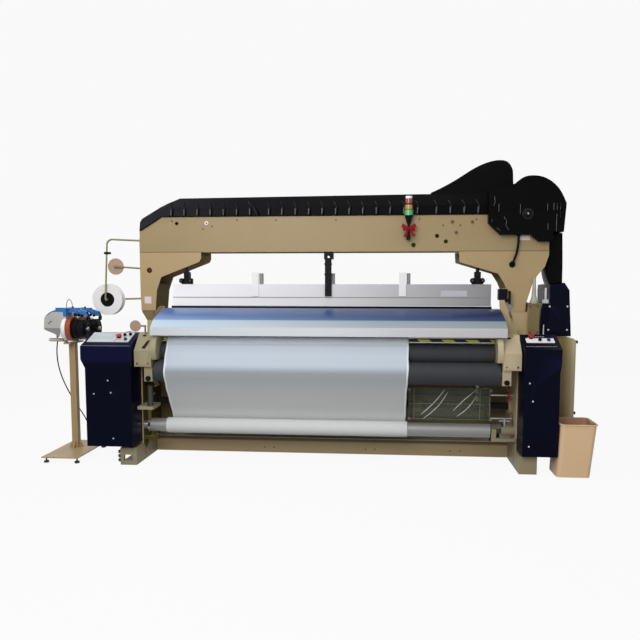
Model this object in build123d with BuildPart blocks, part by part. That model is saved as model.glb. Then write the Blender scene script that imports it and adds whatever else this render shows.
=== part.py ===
"""Water-jet power loom with a top-mounted dobby, in millimetres.

The drawing frame has x to the viewer's right with 0 on the loom's centre line, y running
back from the front feet and z up from the floor. Every finished piece is moved to the
part's own origin, the bottom centre of the whole loom, as it is written.
"""
import math
import os

from build123d import *

os.makedirs("parts", exist_ok=True)

# Main frame
inner_x = 1402.0            # inner face of each side frame
frame_w = 126.0             # width of a side frame
frame_wall = 18.0           # its web and rim
foot_h = 130.0              # height of the front foot
leg_front_y = 165.0         # front of the frame above the foot
frame_top_z = 950.0         # top of the frame under the arch
frame_back_y = 1720.0       # rear end of the frame
frame_gap_z = 70.0          # underside of the frame between its feet
outer_x = inner_x + frame_w
bearing_gap = 0.05          # radial clearance of every running fit
seat_gap = 0.3              # clearance where a soft or round piece lies on another

# Arch
arch_front_y = 500.0
arch_depth = 330.0
arch_foot_z = 1140.0        # where the arch stands on the frame
arch_seam_z = 1604.0        # seam between a leg and the beam
beam_top_z = 1879.0
beam_left_x = -1515.0
beam_right_x = 1678.0
beam_wall = 14.0
arch_back_y = arch_front_y + arch_depth
dobby_left_x = 1213.0       # where the dobby cover begins on the beam

# Rollers at the front
press_r = 73.0
press_y = 165.0
press_z = 841.0
press_half = 1232.0
take_up_r = 82.0
take_up_y = 85.0
take_up_z = 707.0
take_up_half = 1262.0
journal_r = 20.0
cheek_x = 1236.0            # inner face of the bracket's cheek plate
bracket_x = 1275.0          # inner face of the bracket's block

# Cloth
cloth_y = 200.0
cloth_z = 270.0
tube_r = 51.0
tube_left_x = -1345.0
tube_right_x = 1220.0
roll_r = 59.0
roll_left_x = -1218.0
roll_right_x = 613.0
cloth_left_x = -1187.0
cloth_right_x = 601.0
cloth_t = 1.2
fell_y = 350.0              # where the reed leaves the cloth
cloth_line_z = 959.0        # top of the cloth on the breast beam
breast_front_y = 138.0
breast_back_y = 300.0
breast_h = 35.0
lip_r = 6.0
cloth_journal_r = 15.0

# Sley and reed
rocker_y = 430.0
rocker_z = 420.0
rocker_r = 30.0
sley_top_z = 925.0
sley_h = 57.0
sley_w = 60.0
sley_half = 1238.0
reed_half = 1215.0
reed_y = 400.0
reed_t = 8.0
reed_h = 130.0

# Heald frames
heald_y = 518.0             # front face of the first heald frame
heald_t = 10.0
heald_pitch = 16.0
heald_count = 3
heald_half = 1256.0
heald_top_z = 1350.0
heald_rail_h = 170.0
heald_low_z = 690.0
heald_low_h = 60.0
heald_stay = 30.0
heald_travel = 40.0
shed_z = 980.0              # height of the warp where it passes the healds

# Warp
warp_y = 1500.0
warp_z = 520.0
flange_r = 400.0
yarn_r = 330.0
yarn_half = 1280.0
warp_journal_r = 45.0
rest_y = 1290.0
rest_z = 1010.0
rest_r = 60.0
warp_t = 2.0

# Main shaft and motor
shaft_y = 960.0
shaft_z = 600.0
shaft_r = 30.0
crank_r = 90.0
motor_size = 240.0
motor_len = 270.0

# Cover over the reed
hood_left_x = -1285.0
hood_right_x = 1303.0
hood_sheet = 3.0
hood_lip_y = 10.0
hood_lip_z = 976.0
hinge_y = 458.0
hinge_z = 1152.0
hinge_r = 8.0

# Control boxes
box_front_y = -50.0
box_sheet = 3.0
left_box_z = 150.0
right_box_z = 140.0
shoulder_z = 900.0          # where the sloping top begins
left_box_inner_x = -1412.0
left_box_outer_x = -1761.0
left_head_x = -1790.0
right_box_inner_x = 1412.0
right_box_outer_x = 1658.0
right_head_x = 1667.0

# Electrical cabinet
cabinet_right_x = 1835.0
cabinet_front_y = 300.0
cabinet_back_y = 800.0
cabinet_low_z = 330.0
cabinet_top_z = 950.0
door_t = 14.0

# Waste bin
bin_h = 380.0
bin_sheet = 3.0

# Weft stand and feeders
stand_x = -2025.0
stand_y = 345.0
stand_plate_z = 50.0
stand_top_z = 884.0
feeder_pitch = 205.0
ring_r = 95.0
drum_r = 74.0

finished = []


def front_plane(y):
    """Upright plane at y that faces the front, so a sketch on it reads x and z."""
    return Plane(origin=(0, y, 0), x_dir=(1, 0, 0), z_dir=(0, -1, 0))


def side_plane(x):
    """Upright plane at x that faces right, so a sketch on it reads y and z."""
    return Plane.YZ.offset(x)


def floor_plane(z):
    """Level plane at z."""
    return Plane.XY.offset(z)


def bar_x(x0, x1, y, z, radius, mode=Mode.ADD):
    """Round bar along x in the part being built."""
    with Locations(Location(((x0 + x1) / 2, y, z), (0, 90, 0))):
        Cylinder(radius, abs(x1 - x0), mode=mode)


def bar_y(y0, y1, x, z, radius, mode=Mode.ADD):
    """Round bar along y in the part being built."""
    with Locations(Location((x, (y0 + y1) / 2, z), (90, 0, 0))):
        Cylinder(radius, abs(y1 - y0), mode=mode)


def bar_z(z0, z1, x, y, radius, mode=Mode.ADD):
    """Round bar along z in the part being built."""
    with Locations((x, y, (z0 + z1) / 2)):
        Cylinder(radius, abs(z1 - z0), mode=mode)


def block(x0, x1, y0, y1, z0, z1, mode=Mode.ADD):
    """Rectangular block between two corners in the part being built."""
    with Locations(((x0 + x1) / 2, (y0 + y1) / 2, (z0 + z1) / 2)):
        Box(abs(x1 - x0), abs(y1 - y0), abs(z1 - z0), mode=mode)


def rod_between(start, end, radius=7.0):
    """Straight round rod between two points in the part being built."""
    middle = (Vector(*start) + Vector(*end)) / 2
    run = Vector(*end) - Vector(*start)
    with Locations(Plane(middle, z_dir=run).location):
        Cylinder(radius, run.length)


def crossed_prism(front_outline, side_outline, inset=0.0):
    """Body with one outline in front view and one in side view, both drawn in by inset."""
    with BuildPart() as body:
        with BuildSketch(front_plane(-500)):
            Polygon(*front_outline, align=None)
            if inset:
                offset(amount=-inset, kind=Kind.INTERSECTION, mode=Mode.REPLACE)
        extrude(amount=-3000)
        with BuildSketch(side_plane(-3000)):
            Polygon(*side_outline, align=None)
            if inset:
                offset(amount=-inset, kind=Kind.INTERSECTION, mode=Mode.REPLACE)
        extrude(amount=6000, mode=Mode.INTERSECT)
    return body.part


def smooth_run(points, count):
    """Points along a smooth curve through the given ones."""
    curve = Spline(*points)
    return [tuple(curve @ (step / count))[:2] for step in range(count + 1)]


def round_corners(part, corners, radius):
    """Round the upright-view corners (x, z) of a prism that runs along y, in the part being built."""
    wanted = [
        edge
        for edge in part.edges().filter_by(Axis.Y)
        if any(math.dist((edge.center().X, edge.center().Z), corner) < 1 for corner in corners)
    ]
    return fillet(wanted, radius)


def finish(part, name):
    """Label a finished piece and keep it for writing."""
    part.label = name
    finished.append(part)


# Side frames: a cast web with a rim that opens to the outside
frame_outline = [
    (0, 0),
    (0, foot_h),
    (leg_front_y, foot_h),
    (leg_front_y, 880),
    (420, frame_top_z),
    (900, frame_top_z),
    (rest_y - 110, 900),
    (rest_y - 55, rest_z + 60),
    (rest_y + 55, rest_z + 60),
    (rest_y + 90, 900),
    (warp_y + 60, warp_z + 140),
    (frame_back_y, 430),
    (frame_back_y, 0),
    (frame_back_y - 250, 0),
    (frame_back_y - 290, frame_gap_z),
    (620, frame_gap_z),
    (560, 0),
]
frame_windows = [
    ((510, 690), (170, 330)),
    ((740, 480), (170, 560)),
    ((1110, 330), (300, 300)),
    ((340, 300), (130, 220)),
]
heald_guide_x = heald_half - 10
heald_guide_z = (790, 915)
hood_arm_w = 32.0
hood_arm_x = 1313.0
cloth_boss_r = 34.5

for side, label in ((-1, "left"), (1, "right")):
    web_x = side * inner_x
    rim_x = side * outer_x
    with BuildPart() as side_frame:
        with BuildSketch(side_plane(web_x)):
            Polygon(*frame_outline, align=None)
        extrude(amount=side * frame_w)
        with BuildSketch(side_plane(web_x + side * frame_wall)):
            Polygon(*frame_outline, align=None)
            offset(amount=-frame_wall, kind=Kind.INTERSECTION, mode=Mode.REPLACE)
        extrude(amount=side * frame_w, mode=Mode.SUBTRACT)
        for centre, size in frame_windows:
            with BuildSketch(side_plane(web_x)):
                with Locations(centre):
                    RectangleRounded(*size, 30)
            extrude(amount=side * frame_wall, mode=Mode.SUBTRACT)
        # Oval hole through the foot's web and square window in its front
        with BuildSketch(side_plane(web_x)):
            with Locations((205, 62)):
                SlotOverall(62, 30, rotation=90)
        extrude(amount=side * frame_wall, mode=Mode.SUBTRACT)
        if side < 0:
            with BuildSketch(front_plane(0)):
                with Locations((web_x + side * 0.52 * frame_w, 0.42 * foot_h)):
                    Rectangle(66, 46)
            extrude(amount=-frame_wall, mode=Mode.SUBTRACT)
        # Ribs across the pocket
        for rib_y in (620, 860):
            block(web_x, rim_x, rib_y - 7, rib_y + 7, frame_gap_z + 5, frame_top_z - 5)
        # Bearing bosses and their bores
        bar_x(web_x - side * 14, web_x + side * 60, rocker_y, rocker_z, 62)
        bar_x(web_x - side * 14, rim_x, shaft_y, shaft_z, 66)
        bar_x(web_x - side * 10, rim_x, warp_y, warp_z, 84)
        bar_x(web_x - side * 10, web_x + side * 60, rest_y, rest_z, 50)
        cloth_boss_in = 31 if side < 0 else 100
        bar_x(web_x - side * cloth_boss_in, web_x + side * 30, cloth_y, cloth_z, cloth_boss_r)
        bar_x(web_x - side * 20, rim_x, rocker_y, rocker_z, rocker_r + bearing_gap, Mode.SUBTRACT)
        bar_x(web_x - side * 20, rim_x, shaft_y, shaft_z, shaft_r + bearing_gap, Mode.SUBTRACT)
        bar_x(web_x - side * 20, rim_x, warp_y, warp_z, warp_journal_r + bearing_gap, Mode.SUBTRACT)
        bar_x(web_x - side * 20, web_x + side * 60, rest_y, rest_z, 25 + bearing_gap, Mode.SUBTRACT)
        bar_x(
            web_x - side * (cloth_boss_in + 1),
            web_x + side * 30,
            cloth_y,
            cloth_z,
            cloth_journal_r + bearing_gap,
            Mode.SUBTRACT,
        )
        # Grooved guide for the ends of the heald frames
        block(
            side * heald_guide_x,
            web_x,
            heald_y - 10,
            heald_y + heald_pitch * (heald_count - 1) + heald_t + 10,
            *heald_guide_z,
        )
        for index in range(heald_count):
            groove_y = heald_y + index * heald_pitch
            block(
                side * (heald_guide_x - 1),
                side * (heald_half + 0.5),
                groove_y - 0.4,
                groove_y + heald_t + 0.4,
                heald_guide_z[0] - 1,
                heald_guide_z[1] + 1,
                Mode.SUBTRACT,
            )
        # Arm that carries the hinge of the reed cover
        arm_top_z = 1231 if side > 0 else 1176
        arm_outline = [
            (side * 1343, frame_top_z),
            (side * 1450, frame_top_z),
            (side * 1450, 1024),
            (side * 1412, 1040),
            (side * 1397, 1078),
            (side * 1376, 1142),
            (side * (hood_arm_x + hood_arm_w), arm_top_z),
            (side * hood_arm_x, arm_top_z),
            (side * (hood_arm_x + 5), 1130),
            (side * 1340, 1040),
        ]
        with BuildSketch(front_plane(hinge_y - 18)):
            Polygon(*arm_outline, align=None)
        extrude(amount=-36)
        bar_x(
            side * (hood_arm_x - 1),
            side * (hood_arm_x + 60),
            hinge_y,
            hinge_z,
            hinge_r + bearing_gap,
            Mode.SUBTRACT,
        )
        # Pedestal under the arch
        if side < 0:
            pedestal = [
                (-1511, arch_foot_z),
                (-1511, arch_foot_z - 12),
                (-1471, 1062),
                (-1471, frame_top_z),
                (-1434, frame_top_z),
                (-1434, 1062),
                (-1419, arch_foot_z - 12),
                (-1419, arch_foot_z),
            ]
        else:
            pedestal = [
                (1408, arch_foot_z),
                (1408, arch_foot_z - 12),
                (1424, 1090),
                (inner_x, frame_top_z),
                (outer_x, frame_top_z),
                (outer_x, arch_foot_z),
            ]
        with BuildSketch(front_plane(arch_front_y + 5)):
            Polygon(*pedestal, align=None)
        extrude(amount=-(arch_depth - 10))
        if side < 0:
            # Levelling bolts beside the foot, and the lower thread disc on its post
            for bolt_z in (30, 62, 94):
                bar_x(rim_x - 26, rim_x, 30, bolt_z, 9)
                bar_x(rim_x - 20, rim_x - 12, 30, bolt_z, 14)
            block(rim_x, rim_x + 18, 10, 50, 14, 110)
            bar_z(frame_top_z, 1012, -1500, 535, 7)
            bar_x(-1577, -1493, 535, 1012, 7)
            bar_y(522, 535, -1577, 1012, 6)
            bar_y(519, 523, -1577, 1012, 46)
            # Lifting lever below the cloth roller
            block(web_x, -1290, 175, 200, 160, 182)
            block(-1312, -1290, 175, 200, 182, 204)
        else:
            # Selvedge gear housing with its filler flange
            block(outer_x, 1612, 455, 620, 970, 1196)
            block(outer_x, 1622, 448, 625, 1196, 1207)
            # Sensor box on the hinge arm
            block(1300, 1368, 440, 492, 1231, 1314)
            block(1376, 1392, 440, 470, 1200, 1300)
            block(1340, 1380, 446, 466, 1215, 1240)
            # Lifting lever and lock of the cloth roller
            block(1228, web_x, 152, 180, 200, 224)
            block(1228, 1262, 152, 180, 200, 292)
            bar_z(cloth_z + cloth_boss_r - 4, 362, 1328, cloth_y, 6)
            bar_x(1288, 1368, cloth_y, 345, 5)
    finish(side_frame.part, "side_frame_" + label)

# Front cross beam: a channel with two pairs of holes on each half
beam_z = (12.0, 122.0)
with BuildPart() as front_beam:
    with BuildSketch(side_plane(-inner_x)):
        Polygon(
            (480, beam_z[0]),
            (480, beam_z[1]),
            (472, beam_z[1]),
            (472, beam_z[1] + 8),
            (600, beam_z[1] + 8),
            (600, beam_z[1] - 4),
            (490, beam_z[1] - 4),
            (490, beam_z[0] + 10),
            (600, beam_z[0] + 10),
            (600, beam_z[0]),
            align=None,
        )
    extrude(amount=2 * inner_x)
    hole_x = [centre + shift for centre in (-1100, -230, 560, 1150) for shift in (-40, 40)]
    for x in hole_x:
        bar_y(478, 492, x, 78, 6, Mode.SUBTRACT)
finish(front_beam.part, "front_cross_beam")

# Rear cross beam: a box beam between the rear feet, below the warp beam
with BuildPart() as rear_beam:
    block(-inner_x, inner_x, frame_back_y - 160, frame_back_y - 60, 20, 100)
    block(-inner_x, inner_x, frame_back_y - 152, frame_back_y - 68, 28, 92, Mode.SUBTRACT)
finish(rear_beam.part, "rear_cross_beam")

# Cross girder: the big box beam that carries the rocking shaft
girder = (600.0, 760.0, 240.0, 560.0)
with BuildPart() as cross_girder:
    block(-inner_x, inner_x, *girder)
    block(-inner_x, inner_x, girder[0] + 10, girder[1] - 10, girder[2] + 10, girder[3] - 10, Mode.SUBTRACT)
    for x in (-700, 700):
        block(x - 30, x + 30, rocker_y, girder[0], rocker_z - 45, rocker_z + 45)
        bar_x(x - 30, x + 30, rocker_y, rocker_z, 52)
        bar_x(x - 31, x + 31, rocker_y, rocker_z, rocker_r + bearing_gap, Mode.SUBTRACT)
finish(cross_girder.part, "cross_girder")

# Breast beam: an angle with a rounded lip that the cloth runs over
breast_top_z = cloth_line_z - cloth_t - seat_gap
with BuildPart() as breast_beam:
    with BuildSketch(side_plane(-cheek_x)) as breast_section:
        Polygon(
            (breast_front_y, breast_top_z - breast_h),
            (breast_front_y, breast_top_z),
            (breast_back_y, breast_top_z),
            (breast_back_y, breast_top_z - 28),
            (breast_back_y - 12, breast_top_z - 28),
            (breast_back_y - 12, breast_top_z - 12),
            (breast_front_y + 14, breast_top_z - 12),
            (breast_front_y + 14, breast_top_z - breast_h),
            align=None,
        )
        lip = breast_section.vertices().sort_by(Axis.Y)[-2:].sort_by(Axis.X)[0]
        fillet(lip, lip_r)
    extrude(amount=2 * cheek_x)
finish(breast_beam.part, "breast_beam")

# Roller brackets: cast blocks with a cheek beside the press roller
for side, label in ((-1, "left"), (1, "right")):
    block_x = side * bracket_x
    with BuildPart() as bracket:
        with BuildSketch(side_plane(block_x)):
            Polygon((-5, 745), (-5, 865), (125, 988), (200, 988), (320, 860), (320, 745), align=None)
        extrude(amount=side * (inner_x - bracket_x))
        with BuildSketch(side_plane(side * cheek_x)):
            with BuildLine():
                ThreePointArc((4, 797), (-14, 880), (85, 988))
                Polyline((85, 988), (205, 988), (250, 900), (250, 797), (4, 797))
            make_face()
        extrude(amount=side * (bracket_x - cheek_x))
        # Recess in the top and panel on the front of the block
        block(block_x + side * 34, block_x + side * 84, 96, 150, 975, 1000, Mode.SUBTRACT)
        block(block_x + side * 16, block_x + side * 96, -9, -5, 757, 852)
        # Lug that hangs below and holds the take-up roller
        block(block_x, block_x + side * 62, 20, 150, 632, 745)
        bar_y(8, 20, block_x + side * 31, 655, 19)
        bar_x(side * (cheek_x - 1), side * (inner_x - 12), press_y, press_z, journal_r + bearing_gap, Mode.SUBTRACT)
        bar_x(
            side * (bracket_x - 1),
            side * (bracket_x + 60),
            take_up_y,
            take_up_z,
            journal_r + bearing_gap,
            Mode.SUBTRACT,
        )
        if side < 0:
            # Pressing cylinder between the lug and the frame
            bar_z(600, 632, block_x - 33, 60, 10)
            bar_z(600, 609, block_x - 33, 60, 36)
            bar_z(440, 600, block_x - 33, 60, 22)
            block(-inner_x, block_x - 8, 40, 230, 415, 440)
    finish(bracket.part, "roller_bracket_" + label)

# Arch legs: two cast cheeks joined along the outside
left_leg_outline = [
    (beam_left_x, arch_foot_z),
    (beam_left_x, arch_seam_z),
    (-1017, arch_seam_z),
    (-1017, 1557),
    (-1030, 1528),
    (-1345, 1407),
    (-1383, 1303),
    (-1398, arch_foot_z),
]
right_leg_outline = [
    (1408, arch_foot_z),
    (1418, 1190),
    (1349, 1360),
    (1302, 1432),
    (1010, 1520),
    (1004, arch_seam_z),
    (beam_right_x, arch_seam_z),
    (1679, 1571),
    (1652, 1485),
    (1595, 1413),
    (1559, 1344),
    (1518, 1199),
    (1514, arch_foot_z),
]
leg_rounds = {
    "left": [([(-1017, 1557), (-1030, 1528)], 20)],
    "right": [([(1679, 1571), (1652, 1485), (1595, 1413)], 40), ([(1010, 1520)], 14)],
}
leg_port = (-1441, 1461, 22)
grommet_xz = (1407.0, 1501.0)
grommet_r = 24.0
grommet_t = 2.0
for label, outline in (("left", left_leg_outline), ("right", right_leg_outline)):
    side = -1 if label == "left" else 1
    with BuildPart() as leg:
        with BuildSketch(front_plane(arch_front_y)):
            Polygon(*outline, align=None)
        extrude(amount=-arch_depth)
        for corners, radius in leg_rounds[label]:
            round_corners(leg, corners, radius)
        # The space between the cheeks is open towards the healds
        with BuildSketch(front_plane(arch_front_y + beam_wall)):
            Polygon(*outline, align=None)
            offset(amount=-beam_wall, kind=Kind.INTERSECTION, mode=Mode.REPLACE)
        extrude(amount=-(arch_depth - 2 * beam_wall), mode=Mode.SUBTRACT)
        block(
            side * 900,
            side * 1380,
            arch_front_y + beam_wall,
            arch_back_y - beam_wall,
            1300,
            arch_seam_z - beam_wall,
            Mode.SUBTRACT,
        )
        if side < 0:
            bar_y(arch_front_y - 1, arch_front_y + beam_wall, *leg_port, Mode.SUBTRACT)
        else:
            bar_y(arch_front_y - grommet_t, arch_front_y, *grommet_xz, grommet_r)
    finish(leg.part, "arch_leg_" + label)

# Arch beam: a box beam, open below between the legs
arch_outline = [
    (beam_left_x, arch_seam_z),
    (beam_left_x, 1772),
    (-1328, beam_top_z),
    (dobby_left_x, beam_top_z),
    (dobby_left_x, 1812),
    (1305, 1724),
    (1528, 1724),
    (1589, 1672),
    (beam_right_x, 1672),
    (beam_right_x, arch_seam_z),
]
beam_ports = [(-1211, 1829, 14), (835, 1720, 16), (903, 1678, 16), (656, 1652, 18)]
beam_bosses = [(-969, 1830, 15), (950, 1827, 15), (1100, 1825, 13), (980, 1746, 13)]
beam_screws = [(-998, 1785), (-925, 1804), (-1248, 1849), (-724, 1853), (-414, 1850), (56, 1847)]
beam_screws += [(700, 1850), (1130, 1845), (880, 1800), (1010, 1800)]
with BuildPart() as arch_beam:
    with BuildSketch(front_plane(arch_front_y)):
        Polygon(*arch_outline, align=None)
    extrude(amount=-arch_depth)
    with BuildSketch(front_plane(arch_front_y + beam_wall)):
        Polygon(*arch_outline, align=None)
        offset(amount=-beam_wall, kind=Kind.INTERSECTION, mode=Mode.REPLACE)
    extrude(amount=-(arch_depth - 2 * beam_wall), mode=Mode.SUBTRACT)
    block(-990, 990, 550, 790, arch_seam_z - 5, arch_seam_z + beam_wall + 5, Mode.SUBTRACT)
    for x, z, radius in beam_ports:
        bar_y(arch_front_y - 1, arch_front_y + beam_wall, x, z, radius, Mode.SUBTRACT)
    for x, z, radius in beam_bosses:
        bar_y(arch_front_y - 6, arch_front_y, x, z, radius)
    for x, z in beam_screws:
        bar_y(arch_front_y - 4, arch_front_y, x, z, 6)
finish(arch_beam.part, "arch_beam")

# Ribbed cover on top of the beam
cover_top_z = 2044.0
cover_outline = [
    (-1328, beam_top_z),
    (beam_left_x, 1772),
    (-1508, 1841),
    (-1490, 1868),
    (-1284, 1988),
    (-1193, 2030),
    (700, cover_top_z),
    (dobby_left_x, cover_top_z),
    (dobby_left_x, beam_top_z),
]
cover_front_y = arch_front_y - 4
cover_back_y = arch_back_y + 4
cover_side = [
    (cover_front_y, 1700),
    (cover_front_y, 1955),
    (cover_front_y + 64, cover_top_z + 4),
    (cover_back_y - 64, cover_top_z + 4),
    (cover_back_y, 1955),
    (cover_back_y, 1700),
]
cover_sheet = 5.0
rib_pitch = 105.0
rib_w = 14.0
cover_shell = crossed_prism(cover_outline, cover_side) - crossed_prism(cover_outline, cover_side, cover_sheet)
with BuildPart() as beam_cover:
    add(cover_shell)
    bay_count = int((dobby_left_x + 1259) // rib_pitch)
    for index in range(bay_count):
        bay_x = -1259 + rib_pitch * (index + 0.5)
        half = (rib_pitch - rib_w) / 2
        block(bay_x - half, bay_x + half, cover_front_y - 1, cover_front_y + 2.5, 1888, 1940, Mode.SUBTRACT)
finish(beam_cover.part, "beam_cover")

# Fairing over the drive, on top of the cover
guard_top_z = 1742.0
dobby_crown = [(1783, 1953), (1768, 1986), (1741, 2046), (1687, 2112), (1612, 2156), (1553, 2166), (1490, 2160),
               (1444, 2135), (1413, 2104)]
fairing_crown = [(790, 2056), (900, 2108), (1010, 2171), (1120, 2240), (1220, 2285), (1312, 2302), (1368, 2289),
                 (1396, 2250), (1408, 2180), (1413, 2104)]
dobby_outline = [
    (dobby_left_x, 1812),
    (1305, 1724),
    (1528, 1724),
    (1589, 1672),
    (1690, 1672),
    (1690, guard_top_z),
    (1769, guard_top_z),
    (1777, 1857),
    *smooth_run(dobby_crown, 26),
    (1379, 2097),
    (dobby_left_x, cover_top_z),
]
fairing_outline = [
    (784, cover_top_z),
    *smooth_run(fairing_crown, 30),
    (1379, 2097),
    (dobby_left_x, cover_top_z),
]
fairing_side = [
    (565, 2000),
    (565, 2215),
    (612, 2310),
    (725, 2310),
    (775, 2215),
    (775, 2000),
]
fairing_shell = crossed_prism(fairing_outline, fairing_side) - crossed_prism(fairing_outline, fairing_side, 5)
with BuildPart() as fairing:
    add(fairing_shell)
finish(fairing.part, "drive_fairing")

# Dobby cover with its bearing cap, clamp strips and parting groove
dobby_front_y = 440.0
dobby_back_y = 900.0
dobby_side = [
    (dobby_front_y, 1600),
    (dobby_front_y, 1990),
    (dobby_front_y + 50, 2170),
    (dobby_back_y - 50, 2170),
    (dobby_back_y, 1990),
    (dobby_back_y, 1600),
]
dobby_split_z = 1918.0
dobby_gland_xy = (1445.0, 470.0)
dobby_gland_z = 1714.0
dobby_shell = crossed_prism(dobby_outline, dobby_side) - crossed_prism(dobby_outline, dobby_side, 6)
with BuildPart() as dobby_cover:
    add(dobby_shell)
    block(1200, 1800, dobby_front_y - 1, dobby_front_y + 3, dobby_split_z - 3, dobby_split_z + 3, Mode.SUBTRACT)
    bar_y(dobby_front_y - 12, dobby_front_y + 3, 1499, 1876, 42)
    bar_y(dobby_front_y - 20, dobby_front_y - 12, 1499, 1876, 16)
    bar_z(dobby_gland_z, 1730, *dobby_gland_xy, 14)
    for x in (1236, 1725):
        block(x - 12, x + 12, dobby_front_y - 10, dobby_front_y, 1838, 1908)
        block(x - 12, x + 12, dobby_front_y - 10, dobby_front_y, 1926, 1975)
finish(dobby_cover.part, "dobby_cover")

# Guard over the upright belt
guard_waist = [(1692, guard_top_z), (1693, 1652), (1684, 1530), (1675, 1475), (1681, 1415), (1705, 1345)]
guard_outline = [
    *smooth_run(guard_waist, 14),
    (1800, 1360),
    (1798, 1521),
    (1790, guard_top_z),
]
guard_side = [(560, 1300), (560, 1800), (740, 1800), (740, 1300)]
guard_shell = crossed_prism(guard_outline, guard_side) - crossed_prism(guard_outline, guard_side, 5)
with BuildPart() as belt_guard:
    add(guard_shell)
finish(belt_guard.part, "belt_guard")

# Drive cover on top of the cabinet
drive_outline = [
    (1705, 1345),
    (1709, 1204),
    (1652, 1204),
    (1639, 1150),
    (1644, cabinet_top_z),
    (1872, cabinet_top_z),
    (1850, 1305),
    (1812, 1362),
    (1800, 1360),
]
drive_side = [(540, 900), (540, 1380), (960, 1380), (1000, 1300), (1000, 900)]
drive_shell = crossed_prism(drive_outline, drive_side) - crossed_prism(drive_outline, drive_side, 4)
with BuildPart() as drive_cover:
    add(drive_shell)
    # Small air unit on the step, stop lever and screws
    block(1660, 1700, 560, 600, 1204, 1232)
    bar_z(1232, 1322, 1680, 580, 18)
    bar_z(cabinet_top_z + 8, 1040, 1662, 532, 4)
    block(1658, 1666, 530, 541, cabinet_top_z + 8, cabinet_top_z + 20)
    for x, z in ((1705, 1180), (1838, 1180), (1700, 1000), (1840, 1000)):
        bar_y(537, 540, x, z, 7)
finish(drive_cover.part, "drive_cover")

# Cover over the reed: one folded sheet with end plates and hinge pins
hood_line = [
    (hood_lip_y, hood_lip_z),
    (18, 1030),
    (92, 1088),
    (335, 1160),
    (hinge_y - 3, 1164),
]
hood_length = hood_right_x - hood_left_x
with BuildPart() as reed_hood:
    with BuildSketch(side_plane(hood_left_x)):
        with BuildLine():
            Polyline(*hood_line)
            offset(amount=hood_sheet, side=Side.RIGHT, closed=True)
        make_face()
    extrude(amount=hood_length)
    for plate_x in (hood_left_x, hood_right_x - hood_sheet):
        with BuildSketch(side_plane(plate_x)):
            Polygon(
                (22, 1004),
                (20, 1028),
                (94, 1085),
                (336, 1157),
                (hinge_y, 1161),
                (hinge_y + 9, hinge_z),
                (hinge_y, hinge_z - 12),
                (350, 1090),
                (150, 1004),
                align=None,
            )
        extrude(amount=hood_sheet)
    bar_x(hood_right_x - 3, hood_arm_x + hood_arm_w, hinge_y, hinge_z, hinge_r)
    bar_x(-hood_arm_x - hood_arm_w, hood_left_x + 3, hinge_y, hinge_z, hinge_r)
finish(reed_hood.part, "reed_hood")

# Clear splash guard with its rails and star knob
guard_x = (625.0, 1238.0)
guard_z = (330.0, 575.0)
guard_y = 290.0
with BuildPart() as splash_guard:
    block(*guard_x, guard_y, guard_y + 4, *guard_z)
    for x in (guard_x[0], guard_x[1] - 40):
        block(x, x + 4, guard_y - 36, guard_y, guard_z[0], guard_z[1])
    block(guard_x[0], guard_x[1], guard_y - 36, guard_y, guard_z[1] - 4, guard_z[1])
    bar_x(guard_x[0], inner_x, guard_y + 10, 522, 8)
    bar_x(guard_x[0], inner_x, guard_y + 10, 345, 8)
    bar_x(1362, 1376, guard_y + 10, 522, 20)
    with Locations(Location((1369, guard_y + 10, 522), (0, 90, 0))):
        with PolarLocations(22, 5):
            Cylinder(9, 14)
finish(splash_guard.part, "splash_guard")

# Electrical cabinet and its door
latch_y = cabinet_front_y + 25
door_hinge_x = cabinet_right_x + 1 + door_t / 2
door_hinge_y = cabinet_back_y + 6
with BuildPart() as cabinet:
    block(outer_x, cabinet_right_x, cabinet_front_y, cabinet_back_y, cabinet_low_z, cabinet_top_z)
    block(
        outer_x + 3,
        cabinet_right_x + 1,
        cabinet_front_y + 3,
        cabinet_back_y - 3,
        cabinet_low_z + 3,
        cabinet_top_z - 3,
        Mode.SUBTRACT,
    )
    # Mounting plate with the drive units inside
    block(outer_x + 3, outer_x + 9, cabinet_front_y + 40, cabinet_back_y - 40, cabinet_low_z + 40, cabinet_top_z - 40)
    for y in (400, 540, 680):
        block(outer_x + 9, outer_x + 150, y - 50, y + 50, 640, 860)
        block(outer_x + 9, outer_x + 110, y - 50, y + 50, 420, 560)
    for z in (420, 840):
        block(cabinet_right_x - 20, door_hinge_x + 3, cabinet_back_y, cabinet_back_y + 9, z - 9, z - 0.5)
        bar_z(z - 1, z + 46, door_hinge_x, door_hinge_y, 3)
finish(cabinet.part, "electrical_cabinet")

door_left_x = cabinet_right_x + 1
with BuildPart() as door:
    block(
        door_left_x,
        door_left_x + door_t,
        cabinet_front_y + 2,
        cabinet_back_y - 2,
        cabinet_low_z + 10,
        cabinet_top_z - 10,
    )
    block(
        door_left_x - 1,
        door_left_x + door_t - 3,
        cabinet_front_y + 5,
        cabinet_back_y - 5,
        cabinet_low_z + 13,
        cabinet_top_z - 13,
        Mode.SUBTRACT,
    )
    for z in (420, 840):
        block(door_hinge_x - 3, door_hinge_x + 3, cabinet_back_y - 6, door_hinge_y, z, z + 50)
        bar_z(z, z + 50, door_hinge_x, door_hinge_y, 6.5)
        bar_z(z - 1, z + 51, door_hinge_x, door_hinge_y, 3 + bearing_gap, Mode.SUBTRACT)
    for z in (392, 925):
        bar_x(door_left_x + door_t, door_left_x + door_t + 16, latch_y, z, 11)
finish(door.part, "cabinet_door")

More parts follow.
